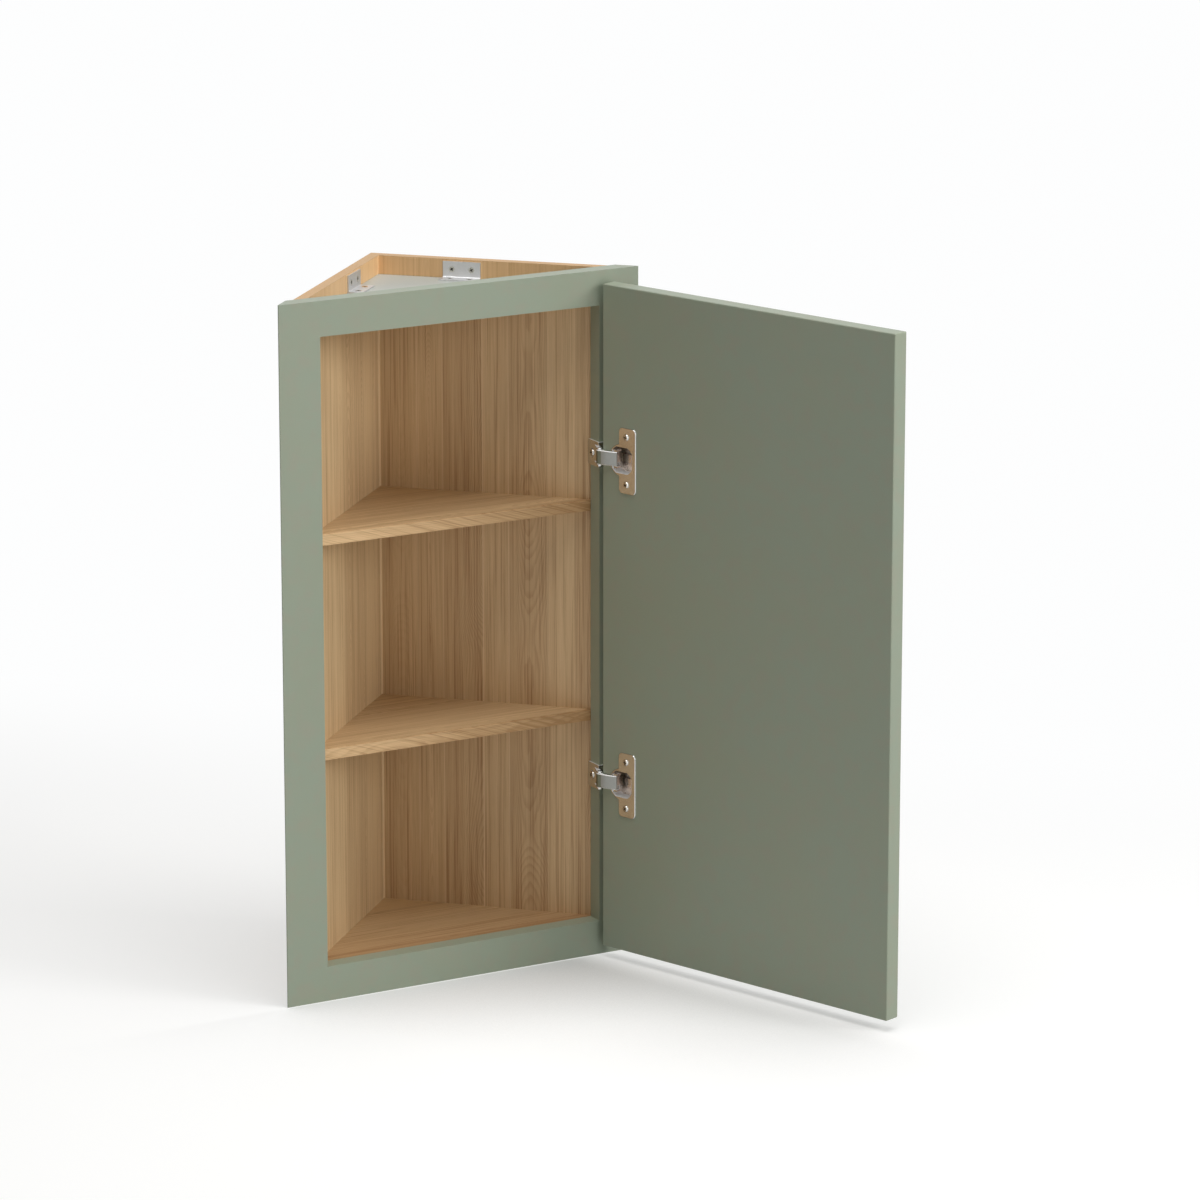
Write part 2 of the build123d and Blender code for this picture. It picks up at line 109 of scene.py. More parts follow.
# ------------------------------------------------------------------------------- node trees
class Wire:
    """A node's output that Python's operators work on; an expression adds its Math nodes."""

    def __init__(self, graph: "Graph", socket: bpy.types.NodeSocket) -> None:
        """Wraps an output socket of a graph's node."""
        self.graph = graph
        self.socket = socket

    def math(self, operation: str, *values: "Number") -> "Wire":
        """Result of one Math node on these values."""
        return self.graph.add("ShaderNodeMath", {"operation": operation}, dict(enumerate(values)))

    def __add__(self, other: "Number") -> "Wire":
        """self + other."""
        return self.math("ADD", self, other)

    def __radd__(self, other: "Number") -> "Wire":
        """other + self."""
        return self.math("ADD", other, self)

    def __sub__(self, other: "Number") -> "Wire":
        """self - other."""
        return self.math("SUBTRACT", self, other)

    def __rsub__(self, other: "Number") -> "Wire":
        """other - self."""
        return self.math("SUBTRACT", other, self)

    def __mul__(self, other: "Number") -> "Wire":
        """self * other."""
        return self.math("MULTIPLY", self, other)

    def __rmul__(self, other: "Number") -> "Wire":
        """other * self."""
        return self.math("MULTIPLY", other, self)

    def __truediv__(self, other: "Number") -> "Wire":
        """self / other."""
        return self.math("DIVIDE", self, other)

    def __rtruediv__(self, other: "Number") -> "Wire":
        """other / self."""
        return self.math("DIVIDE", other, self)

    def __pow__(self, other: "Number") -> "Wire":
        """self ** other."""
        return self.math("POWER", self, other)

    def __abs__(self) -> "Wire":
        """abs(self)."""
        return self.math("ABSOLUTE", self)

    def floor(self) -> "Wire":
        """Largest whole number that isn't above self."""
        return self.math("FLOOR", self)

    def root(self) -> "Wire":
        """Square root of self."""
        return self.math("SQRT", self)

    def sine(self) -> "Wire":
        """Sine of self, in radians."""
        return self.math("SINE", self)


Number = Wire | float | int


class Graph:
    """A node tree and the one way of adding nodes to it."""

    def __init__(self, tree: bpy.types.NodeTree) -> None:
        """Takes the tree to build in."""
        self.tree = tree

    def node(
        self,
        kind: str,
        settings: dict[str, Any] | None = None,
        inputs: dict[int | str, Any] | None = None,
    ) -> bpy.types.Node:
        """Adds a node.

        Args:
            kind: the node's type.
            settings: its properties, set before its sockets; "stops" fills its colour ramp.
            inputs: a value, a wire or a list of wires for each socket's name or number.

        Returns:
            The node.
        """
        made = self.tree.nodes.new(kind)
        for name, value in (settings or {}).items():
            if name == "stops":
                self._fill_ramp(made.color_ramp, value)
            else:
                setattr(made, name, value)
        for key, value in (inputs or {}).items():
            if isinstance(value, Wire):
                self.tree.links.new(value.socket, made.inputs[key])
            elif isinstance(value, list):
                for wire in value:
                    self.tree.links.new(wire.socket, made.inputs[key])
            else:
                made.inputs[key].default_value = value
        return made

    def add(
        self,
        kind: str,
        settings: dict[str, Any] | None = None,
        inputs: dict[int | str, Any] | None = None,
        output: int | str = 0,
    ) -> Wire:
        """Adds a node as node() does and returns one of its outputs as a wire."""
        return Wire(self, self.node(kind, settings, inputs).outputs[output])

    @staticmethod
    def _fill_ramp(ramp: bpy.types.ColorRamp, stops: list[tuple[float, Shade]]) -> None:
        """Gives a colour ramp these stops, in order."""
        while len(ramp.elements) < len(stops):
            ramp.elements.new(1.0)
        for element, (place, shade) in zip(ramp.elements, stops):
            element.position = place
            element.color = shade


class Figure(NamedTuple):
    """A stretched noise: its cells per metre along three directions, and its finer layers."""

    across: float
    through: float
    along: float
    detail: float = 2.0
    rough: float = 0.5


class Cloud(NamedTuple):
    """An even noise: its cells per metre, and its finer layers."""

    cells: float
    detail: float = 2.0
    rough: float = 0.5


class Surface(Graph):
    """The node tree of a material that reads Object coordinates."""

    def __init__(self, name: str) -> None:
        """Starts an empty material of that name."""
        self.material = bpy.data.materials.new(name)
        self.material.use_nodes = True
        self.material.node_tree.nodes.clear()
        super().__init__(self.material.node_tree)
        self.place = self.add("ShaderNodeTexCoord", output="Object")

    def along(self, axis: Axis) -> Wire:
        """Distance of the shaded point along an axis, in metres."""
        settings = {"operation": "DOT_PRODUCT"}
        return self.add("ShaderNodeVectorMath", settings, {0: self.place, 1: axis}, "Value")

    def point(self, x: Number, y: Number, z: Number) -> Wire:
        """Vector of three numbers."""
        return self.add("ShaderNodeCombineXYZ", None, {0: x, 1: y, 2: z})

    def noise(self, place: Wire, scale: float, detail: float = 2.0, rough: float = 0.5) -> Wire:
        """Soft noise between 0 and 1.

        Args:
            place: where it is read.
            scale: cells per unit of place.
            detail: how many finer layers it has.
            rough: how strong the finer layers are.

        Returns:
            The noise's value.
        """
        inputs = {"Vector": place, "Scale": scale, "Detail": detail, "Roughness": rough}
        return self.add("ShaderNodeTexNoise", None, inputs, "Fac")

    def figured(self, figure: Figure, across: Wire, through: Wire, along: Wire) -> Wire:
        """Stretched noise between 0 and 1.

        Args:
            figure: how far it is stretched.
            across: distance along its first direction.
            through: distance along its second direction.
            along: distance along its third direction.

        Returns:
            The noise's value.
        """
        place = self.point(
            across * figure.across, through * figure.through, along * figure.along
        )
        return self.noise(place, 1.0, figure.detail, figure.rough)

    def chances(self, seed: Wire) -> tuple[Wire, Wire, Wire]:
        """Three numbers between 0 and 1 that change from one seed to the next."""
        colour = self.add("ShaderNodeTexWhiteNoise", {"noise_dimensions": "1D"}, {"W": seed}, 1)
        parts = self.node("ShaderNodeSeparateColor", None, {0: colour})
        return tuple(Wire(self, part) for part in parts.outputs)

    def ramp(self, value: Number, low: float, high: float) -> Wire:
        """Smooth step from 0 at low to 1 at high."""
        settings = {"interpolation_type": "SMOOTHSTEP"}
        return self.add("ShaderNodeMapRange", settings, {"Value": value, 1: low, 2: high})

    def mix(self, share: Number, first: Wire | Shade, second: Wire | Shade) -> Wire:
        """First colour, turned into the second by share."""
        settings = {"data_type": "RGBA", "clamp_factor": True}
        return self.add("ShaderNodeMix", settings, {0: share, 6: first, 7: second}, 2)

    def relief(self, height: Wire, depth: float, strength: float = 1.0) -> Wire:
        """Normal of a fine relief.

        Args:
            height: from 0 to 1.
            depth: what a height of 1 stands for, in metres.
            strength: share of the relief that shows.

        Returns:
            The bumped normal.
        """
        inputs = {"Height": height, "Distance": depth, "Strength": strength}
        return self.add("ShaderNodeBump", None, inputs)

    def close(self, **sockets: Any) -> bpy.types.Material:
        """Ends the material in a Principled shader.

        Args:
            sockets: its sockets, by name with underscores for spaces.

        Returns:
            The finished material.
        """
        inputs = {name.replace("_", " "): value for name, value in sockets.items()}
        shader = self.add("ShaderNodeBsdfPrincipled", None, inputs)
        self.add_output(shader)
        return self.material

    def add_output(self, shader: Wire) -> None:
        """Sends a shader to the material's surface."""
        output = self.node("ShaderNodeOutputMaterial")
        self.tree.links.new(shader.socket, output.inputs["Surface"])


# --------------------------------------------------------------------------------- finishes
class Grain(Enum):
    """Directions of a piece's wood: across its strips, through its thickness, along its grain."""

    BACK_PANEL = (RIGHT, AHEAD, UP)
    SIDE_PANEL = (AHEAD, RIGHT, UP)
    BOARD = (OUT, UP, ALONG)
    LIPPING = (UP, OUT, ALONG)


@dataclass(frozen=True)
class Rings:
    """Growth rings of a strip: flat cut where its pith lies inside it, upright elsewhere."""

    spacing: float = 1.9 * MM
    narrowing: float = 1.7             # how much narrower the arches are than a round log's
    pith_range: float = 60 * MM        # in which a strip's pith may lie, across
    pith_travel: float = 120 * MM      # how far the pith comes and goes along a strip
    pith_middle: float = 0.38          # share of that travel that lies behind the face
    sweeps: tuple[float, float] = (7.3, 3.6)   # of the pith, per strip and per metre
    sweep_layers: tuple[float, float] = (2.0, 0.3)   # how many finer layers, and how strong
    waves: tuple[float, float] = (120, 9)      # of the rings, per metre across and along
    wave_layers: tuple[float, float] = (3.0, 0.6)
    wave_height: float = 1.2           # in rings
    darkening: tuple[float, float] = (0.3, 0.85)   # where in a ring its late wood sets in
    ending: tuple[float, float] = (0.9, 1.0)       # and where it ends

    def late_wood(
        self, surface: Surface, across: Wire, along: Wire, strip: Wire, inside: Wire
    ) -> Wire:
        """How much late wood a point has, from 0 to 1.

        Args:
            surface: the material to build in.
            across: distance across the strips.
            along: distance along the grain.
            strip: the strip's number.
            inside: distance from the strip's middle.

        Returns:
            The share.
        """
        _, shift, pattern = surface.chances(strip)
        pith = (shift - 0.5) * self.pith_range
        sweep_place = surface.point(strip * self.sweeps[0], along * self.sweeps[1], pattern)
        sweep = surface.noise(sweep_place, 1.0, *self.sweep_layers)
        depth = (sweep - self.pith_middle) * self.pith_travel
        sideways = (inside - pith) * self.narrowing
        wave_place = surface.point(across * self.waves[0], strip, along * self.waves[1])
        wander = surface.noise(wave_place, 1.0, *self.wave_layers)
        radius = (sideways * sideways + depth * depth).root()
        rings = radius / self.spacing + wander * self.wave_height
        phase = rings - rings.floor()
        return surface.ramp(phase, *self.darkening) * (1 - surface.ramp(phase, *self.ending))


@dataclass(frozen=True)
class Oak:
    """Clear-lacquered oak, laid up from strips whose grain runs one way."""

    name: str
    grain: Grain
    seed: float
    pale: Shade = screen(219, 189, 146)
    deep: Shade = screen(157, 120, 82)
    joint: Shade = screen(232, 206, 166)
    joint_share: float = 0.6
    joint_fade: tuple[float, float] = (0.9 * MM, 0.3 * MM)   # before a strip's edge
    strip_width: float = 37 * MM
    strip_unevenness: float = 5 * MM
    strip_waves: float = 83            # of that unevenness, in radians per metre across
    strip_contrast: float = 0.13
    rings: Rings = Rings()
    mean_tone: float = 0.27            # from pale to deep
    painted_light_drift: Axis = (0.0, 0.0, 0.0)      # painted light and shade: tone gained per metre along each axis, for light that falls off across the piece
    least_flame: float = 0.05          # how dark the rings are in the plainest strip
    flame_share: float = 0.15          # and how much darker in the most figured one
    flame_range: tuple[float, float] = (0.1, 0.9)   # the plainest and the most figured strip
    slant: float = 0.0                 # of the fibres, off the grain's direction
    fibres: Figure = Figure(1100, 1100, 14, 3.0, 0.6)
    fibre_share: float = 0.55
    lines: Figure = Figure(430, 300, 4, 2.0, 0.6)
    line_share: float = 0.45
    threads: Figure = Figure(620, 300, 5, 1.0)
    thread_share: float = 0.34
    thread_start: float = 0.74         # along the grain, so that they don't follow the lines
    thread_range: tuple[float, float] = (0.55, 0.66)   # of their noise, in which they set in
    pores: Figure = Figure(1700, 1700, 50, 1.0)
    pore_share: float = 0.10
    pore_range: tuple[float, float] = (0.60, 0.70)
    streaks: Figure = Figure(110, 60, 1.4)
    streak_share: float = 0.5
    arris: float | None = None         # where a paler line runs along the grain, across it
    arris_width: float = 1.5 * MM
    arris_fade: float = 0.4 * MM
    arris_share: float = 0.9
    painted_light_foot: float | None = None     # height above which the wood is painted paler: painted light for the open light there
    painted_light_fade: float = 1 * MM
    painted_light_tone: Shade = screen(246, 196, 139)
    painted_light_share: float = 0.5
    rim: float = 0.0                   # height of a piece's upper edge, whose end face turns to rim_tone over the painted light
    rim_fade: tuple[float, float] = (0.5 * MM, 0.1 * MM)   # below that edge
    rim_tone: Shade = screen(190, 152, 106)
    rim_share: float = 0.8
    roughness: float = 0.46
    fibre_roughness: float = 0.16
    pore_roughness: float = 0.10
    fibre_height: float = 0.5          # in relief depths, as the next two are
    pore_depth: float = 0.6
    ring_depth: float = 0.15
    relief_depth: float = 0.06 * MM
    relief_share: float = 0.6
    specular: float = 0.35

    def material(self) -> bpy.types.Material:
        """Builds the finish."""
        surface = Surface(self.name)
        colour, roughness, relief = self.layers(surface)
        return surface.close(
            Base_Color=colour,
            Roughness=roughness,
            Normal=relief,
            Specular_IOR_Level=self.specular,
        )

    def layers(self, surface: Surface) -> tuple[Wire, Wire, Wire]:
        """Colour, roughness and normal of the wood.

        Args:
            surface: the material to build in.

        Returns:
            The three wires.
        """
        across, through, along = (surface.along(axis) for axis in self.grain.value)
        waves = (across * self.strip_waves + self.seed).sine()
        uneven = across + waves * self.strip_unevenness
        spot = uneven / self.strip_width + self.seed
        strip = spot.floor()
        inside = (spot - strip - 0.5) * self.strip_width
        tone, shift, pattern = surface.chances(strip)
        late_wood = self.rings.late_wood(surface, across, along, strip, inside)

        skew = across + along * self.slant
        fibre = surface.figured(self.fibres, skew, through, along)
        lines = surface.figured(self.lines, skew, through, along)
        threads = surface.figured(self.threads, skew, through, along + self.thread_start)
        threads = surface.ramp(threads, *self.thread_range)
        pores = surface.figured(self.pores, across, through, along)
        pores = surface.ramp(pores, *self.pore_range)
        streaks = surface.figured(self.streaks, across, through, along)
        flame = surface.ramp(pattern, *self.flame_range) * self.flame_share + self.least_flame

        depth_of_tone = (
            late_wood * flame
            + (fibre - 0.5) * self.fibre_share
            + (lines - 0.5) * self.line_share
            + threads * self.thread_share
            + (streaks - 0.5) * self.streak_share
            + (tone - 0.5) * (2 * self.strip_contrast)
            + pores * self.pore_share
            # painted light and shade: the tone drifts across the piece as the light falls off
            + surface.along(self.painted_light_drift)
            + self.mean_tone
        )
        wood = surface.mix(depth_of_tone, self.pale, self.deep)
        half = self.strip_width / 2
        joint = surface.ramp(abs(inside), *(half - depth for depth in self.joint_fade))
        wood = surface.mix(joint * self.joint_share * shift, wood, self.joint)
        wood = self._edges(surface, wood, across)
        roughness = (
            self.roughness + (fibre - 0.5) * self.fibre_roughness + pores * self.pore_roughness
        )
        height = fibre * self.fibre_height - pores * self.pore_depth - late_wood * self.ring_depth
        relief = surface.relief(height, self.relief_depth, self.relief_share)
        return wood, roughness, relief

    def _edges(self, surface: Surface, wood: Wire, across: Wire) -> Wire:
        """Wood with its arris, the painted light over its part in open light, and its upper edge.

        Args:
            surface: the material to build in.
            wood: the colour so far.
            across: distance across the strips.

        Returns:
            The colour.
        """
        if self.arris is not None:
            half = self.arris_width / 2
            beside = 1 - surface.ramp(abs(across - self.arris), half, half + self.arris_fade)
            wood = surface.mix(beside * self.arris_share, wood, self.joint)
        # painted light: the wood above painted_light_foot is paler, and its upper end face turns to
        # rim_tone
        if self.painted_light_foot is not None:
            height = surface.along(UP)
            painted_lit = surface.ramp(height, self.painted_light_foot, self.painted_light_foot + self.painted_light_fade)
            wood = surface.mix(painted_lit * self.painted_light_share, wood, self.painted_light_tone)
            edge = surface.ramp(height, *(self.rim - depth for depth in self.rim_fade))
            wood = surface.mix(edge * self.rim_share, wood, self.rim_tone)
        return wood


@dataclass(frozen=True)
class FacedBoard:
    """Oak-faced board whose upper side has a plain pale facing."""

    name: str
    oak: Oak
    facing: Shade
    fleck: Shade
    face_height: float
    face_depth: float = 0.4 * MM
    clouds: Cloud = Cloud(26, 3.0)
    cloud_share: float = 0.8
    grit: Cloud = Cloud(900)
    grit_share: float = 0.5
    face_roughness: float = 0.38
    grit_roughness: float = 0.08
    specular: float = 0.4

    def material(self) -> bpy.types.Material:
        """Builds the finish; the facing lies at face_height and above."""
        surface = Surface(self.name)
        wood, wood_roughness, relief = self.oak.layers(surface)
        cloud = surface.noise(surface.place, *self.clouds)
        grit = surface.noise(surface.place, *self.grit)
        clouding = (cloud - 0.5) * self.cloud_share + (grit - 0.5) * self.grit_share + 0.5
        facing = surface.mix(clouding, self.facing, self.fleck)
        face_foot = self.face_height - self.face_depth
        upper = surface.ramp(surface.along(UP), face_foot, self.face_height)
        colour = surface.mix(upper, wood, facing)
        face_roughness = self.face_roughness + grit * self.grit_roughness
        roughness = wood_roughness * (1 - upper) + face_roughness * upper
        return surface.close(
            Base_Color=colour,
            Roughness=roughness,
            Normal=relief,
            Specular_IOR_Level=self.specular,
        )


@dataclass(frozen=True)
class Paint:
    """Sprayed satin paint with a faint cloud and a fine orange peel."""

    name: str
    colour: Shade
    cool: Shade
    warm: Shade
    clouds: Cloud = Cloud(11, 4.0, 0.6)
    cool_range: tuple[float, float] = (0.35, 0.65)   # of the clouds, in which the cool tone sets in
    cool_share: float = 0.8
    blotches: Cloud = Cloud(55, 3.0, 0.6)
    warm_range: tuple[float, float] = (0.42, 0.72)   # of the blotches
    warm_share: float = 0.7
    specks: Cloud = Cloud(1100, 1.0)
    peel: Cloud = Cloud(620, 2.0, 0.45)
    peel_depth: float = 0.02 * MM
    peel_height: float = 0.8           # in peel depths
    speck_height: float = 0.2
    peel_share: float = 0.55
    roughness: float = 0.40
    blotch_roughness: float = 0.10
    speck_roughness: float = 0.06
    specular: float = 0.4

    def material(self) -> bpy.types.Material:
        """Builds the finish."""
        surface = Surface(self.name)
        cloud = surface.noise(surface.place, *self.clouds)
        blotch = surface.noise(surface.place, *self.blotches)
        speck = surface.noise(surface.place, *self.specks)
        peel = surface.noise(surface.place, *self.peel)
        cooler = surface.ramp(cloud, *self.cool_range) * self.cool_share
        warmer = surface.ramp(blotch, *self.warm_range) * self.warm_share
        colour = surface.mix(cooler, self.colour, self.cool)
        colour = surface.mix(warmer, colour, self.warm)
        roughness = (
            self.roughness
            + (blotch - 0.5) * self.blotch_roughness
            + (speck - 0.5) * self.speck_roughness
        )
        height = peel * self.peel_height + speck * self.speck_height
        return surface.close(
            Base_Color=colour,
            Roughness=roughness,
            Normal=surface.relief(height, self.peel_depth, self.peel_share),
            Specular_IOR_Level=self.specular,
        )


@dataclass(frozen=True)
class Plating:
    """Plated steel: a bright metal with rolling marks and a slightly uneven gloss."""

    name: str
    colour: Shade
    dull: Shade
    roughness: float
    clouds: Cloud = Cloud(160, 3.0, 0.6)
    cloud_range: tuple[float, float] = (0.35, 0.75)   # in which the dull colour sets in
    cloud_share: float = 0.35          # how strongly it shows there
    marks: Figure = Figure(900, 900, 90)
    mark_depth: float = 0.003 * MM
    mark_share: float = 0.6
    unevenness: float = 0.10           # of the roughness, from the marks and from the clouds

    def material(self) -> bpy.types.Material:
        """Builds the finish."""
        surface = Surface(self.name)
        marks = surface.figured(self.marks, *(surface.along(axis) for axis in (RIGHT, AHEAD, UP)))
        cloud = surface.noise(surface.place, *self.clouds)
        duller = surface.ramp(cloud, *self.cloud_range) * self.cloud_share
        colour = surface.mix(duller, self.colour, self.dull)
        roughness = (
            self.roughness + (marks - 0.5) * self.unevenness + (cloud - 0.5) * self.unevenness
        )
        relief = surface.relief(marks, self.mark_depth, self.mark_share)
        return surface.close(
            Base_Color=colour, Metallic=1.0, Roughness=roughness, Normal=relief
        )


@dataclass(frozen=True)
class PlainWood:
    """Unfinished round stock with a fine straight grain."""

    name: str
    colour: Shade
    grain_colour: Shade
    fibres: Figure = Figure(900, 900, 40, 3.0)
    fibre_depth: float = 0.05 * MM
    fibre_share: float = 0.5
    roughness: float = 0.55
    fibre_roughness: float = 0.1

    def material(self) -> bpy.types.Material:
        """Builds the finish."""
        surface = Surface(self.name)
        fibre = surface.figured(self.fibres, *(surface.along(axis) for axis in (UP, OUT, ALONG)))
        colour = surface.mix(fibre, self.colour, self.grain_colour)
        roughness = self.roughness + fibre * self.fibre_roughness
        relief = surface.relief(fibre, self.fibre_depth, self.fibre_share)
        return surface.close(Base_Color=colour, Roughness=roughness, Normal=relief)


@dataclass(frozen=True)
class Floor:
    """Pale floor that turns into the white background with distance."""

    name: str = "pale_floor"
    body: Shade = (0.57, 0.57, 0.563, 1.0)     # where it is seen
    bounce: Shade = (0.74, 0.74, 0.73, 1.0)    # for the light that it sends to the cabinet
    lift: Shade = (0.505, 0.505, 0.502, 1.0)
    around: tuple[float, float] = (0.9, 2.4)   # where it turns white, from the cabinet's corner
    behind: tuple[float, float] = (0.1, 0.9)   # and behind the back panel
    front: float = 0.207               # of the face frame
    corner_reach: float = 0.36
    painted_shade_share: float = 1.2          # of the lift, lost to the painted shade per share of the sky that is hidden
    sky_samples: int = 6
    contact: tuple[float, float] = (-2 * MM, 4 * MM)   # where that painted shade sets in, off the front
    door_side: tuple[float, float] = (0.12, 0.185)     # where it ends, towards the open door
    door_lean: float = 0.35            # of the open door's line, off the way out

    def material(self) -> bpy.types.Material:
        """Builds the finish: the lift and the white reach only camera, mirror and glass rays, and a
        painted shade dims the lift in front of the cabinet.
        """
        surface = Surface(self.name)
        seen = seen_rays(surface)
        body = surface.mix(seen, self.bounce, self.body)
        diffuse = surface.add("ShaderNodeBsdfDiffuse", None, {"Color": body})
        strength = seen * self._lift_under_painted_shade(surface)
        lift = surface.add("ShaderNodeEmission", None, {"Color": self.lift, "Strength": strength})
        lifted = surface.add("ShaderNodeAddShader", None, {0: diffuse, 1: lift})
        white = surface.add("ShaderNodeEmission", None, {"Color": ROOM_WHITE})
        reach = (surface.along(RIGHT) ** 2 + surface.along(AHEAD) ** 2).root()
        around = surface.ramp(reach, *self.around)
        behind = surface.ramp(surface.along(AHEAD), *self.behind)
        far = around.math("MAXIMUM", around, behind) * seen
        surface.add_output(surface.add("ShaderNodeMixShader", None, {0: far, 1: lifted, 2: white}))
        return surface.material

    def _lift_under_painted_shade(self, surface: Surface) -> Wire:
        """Share of the lift that is left under the painted shade in the corner between the face
        frame and the open door.
        """
        samples = {"samples": self.sky_samples}
        reach = {"Distance": self.corner_reach}
        open_sky = surface.add("ShaderNodeAmbientOcclusion", samples, reach, "AO")
        ahead = surface.along(OUT) - self.front
        beside = surface.along(ALONG) - ahead * self.door_lean
        corner = surface.ramp(ahead, *self.contact) * (1 - surface.ramp(beside, *self.door_side))
        # painted shade: the lift dims with the ambient occlusion, only in the corner before the
        # face frame
        return 1 - (1 - open_sky) * corner * self.painted_shade_share


def seen_rays(graph: Graph) -> Wire:
    """1 for camera, mirror and glass rays, and 0 for those that carry light between surfaces."""
    path = graph.node("ShaderNodeLightPath")
    names = ("Is Camera Ray", "Is Glossy Ray", "Is Transmission Ray")
    camera, glossy, glass = (Wire(graph, path.outputs[name]) for name in names)
    return (camera + glossy + glass).math("MINIMUM", camera + glossy + glass, 1.0)


# ------------------------------------------------------------------------------ mesh helpers
def body_of(node: str) -> str:
    """Body that a CAD node rides on."""
    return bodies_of(frame["nodes"][node])[0]


def dress(node: str, material: bpy.types.Material) -> bpy.types.Object:
    """Gives a CAD node its finish and returns its object."""
    piece = frame["nodes"][node]
    for slot in piece.material_slots:
        slot.material = material
    return piece


def welded(node: str) -> bmesh.types.BMesh:
    """Copy of a CAD node's mesh with its loose triangles joined."""
    shape = bmesh.new()
    shape.from_mesh(frame["nodes"][node].data)
    bmesh.ops.remove_doubles(shape, verts=shape.verts, dist=WELD)
    return shape


def place_piece(name: str, mesh: bpy.types.Mesh, *nodes: str) -> bpy.types.Object:
    """Makes an object of a dressed mesh that stands for CAD nodes.

    Args:
        name: the piece's name.
        mesh: its mesh, in the cabinet's frame, with its finish.
        nodes: the CAD nodes that it replaces, all on one body.

    Returns:
        The object.
    """
    piece = bpy.data.objects.new(name, mesh)
    bpy.context.scene.collection.objects.link(piece)
    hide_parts(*nodes)
    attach(piece, body_of(nodes[0]))
    return piece


def eased_copy(
    node: str,
    width: float,
    materials: tuple[bpy.types.Material, ...],
    detail: Callable[[bmesh.types.BMesh], None] | None = None,
) -> bpy.types.Object:
    """Copy of a CAD node whose sharp edges are rounded, in the node's place.

    Args:
        node: the CAD node.
        width: how far the rounding reaches from an edge, in metres.
        materials: the piece's finishes; every face starts with the first one.
        detail: what else is done to the mesh, such as giving faces another finish.

    Returns:
        The object that replaces the node.
    """
    shape = welded(node)
    bmesh.ops.dissolve_limit(
        shape, angle_limit=FLAT_ANGLE, verts=shape.verts, edges=shape.edges
    )
    for face in shape.faces:
        face.material_index = 0
    if detail is not None:
        detail(shape)
    mesh = bpy.data.meshes.new(f"{node}_eased")
    shape.to_mesh(mesh)
    shape.free()
    for material in materials:
        mesh.materials.append(material)
    mesh.shade_smooth()
    mesh.set_sharp_from_angle(angle=SHARP_ANGLE)
    piece = place_piece(f"{node}_eased", mesh, node)
    bevel = piece.modifiers.new("eased edges", "BEVEL")
    bevel.width = width
    bevel.segments = EASING_STEPS
    bevel.limit_method = "ANGLE"
    bevel.angle_limit = SHARP_ANGLE
    bevel.use_clamp_overlap = True
    bevel.harden_normals = True
    flat = piece.modifiers.new("flat faces", "WEIGHTED_NORMAL")
    flat.keep_sharp = True
    return piece


# ----------------------------------------------------------------------------------- screws
class Seat(NamedTuple):
    """Where a screw sits: the middle of its head's top, and the way that the head points."""

    top: Vector
    axis: Vector


def screw_seats(node: str) -> list[Seat]:
    """Seats of the screws in a CAD node, read from its separate solids."""
    shape = welded(node)
    shape.verts.ensure_lookup_table()
    seats = []
    left = set(shape.verts)
    while left:
        front = [left.pop()]
        island = []
        while front:
            vertex = front.pop()
            island.append(vertex)
            for edge in vertex.link_edges:
                other = edge.other_vert(vertex)
                if other in left:
                    left.remove(other)
                    front.append(other)
        points = np.array([vertex.co for vertex in island])
        lengthwise = np.linalg.svd(points - points.mean(0), full_matrices=False)[2][0]
        heights = (points - points.mean(0)) @ lengthwise
        spread = np.linalg.norm(points - points.mean(0) - np.outer(heights, lengthwise), axis=1)
        if heights[spread.argmax()] < 0:
            lengthwise = -lengthwise
            heights = -heights
        foot = points[heights < heights.min() + WELD].mean(0)
        top = foot + lengthwise * (heights.max() - heights.min())
        seats.append(Seat(Vector(top), Vector(lengthwise)))
    shape.free()
    return sorted(seats, key=lambda seat: tuple(round(part, 4) for part in seat.top))


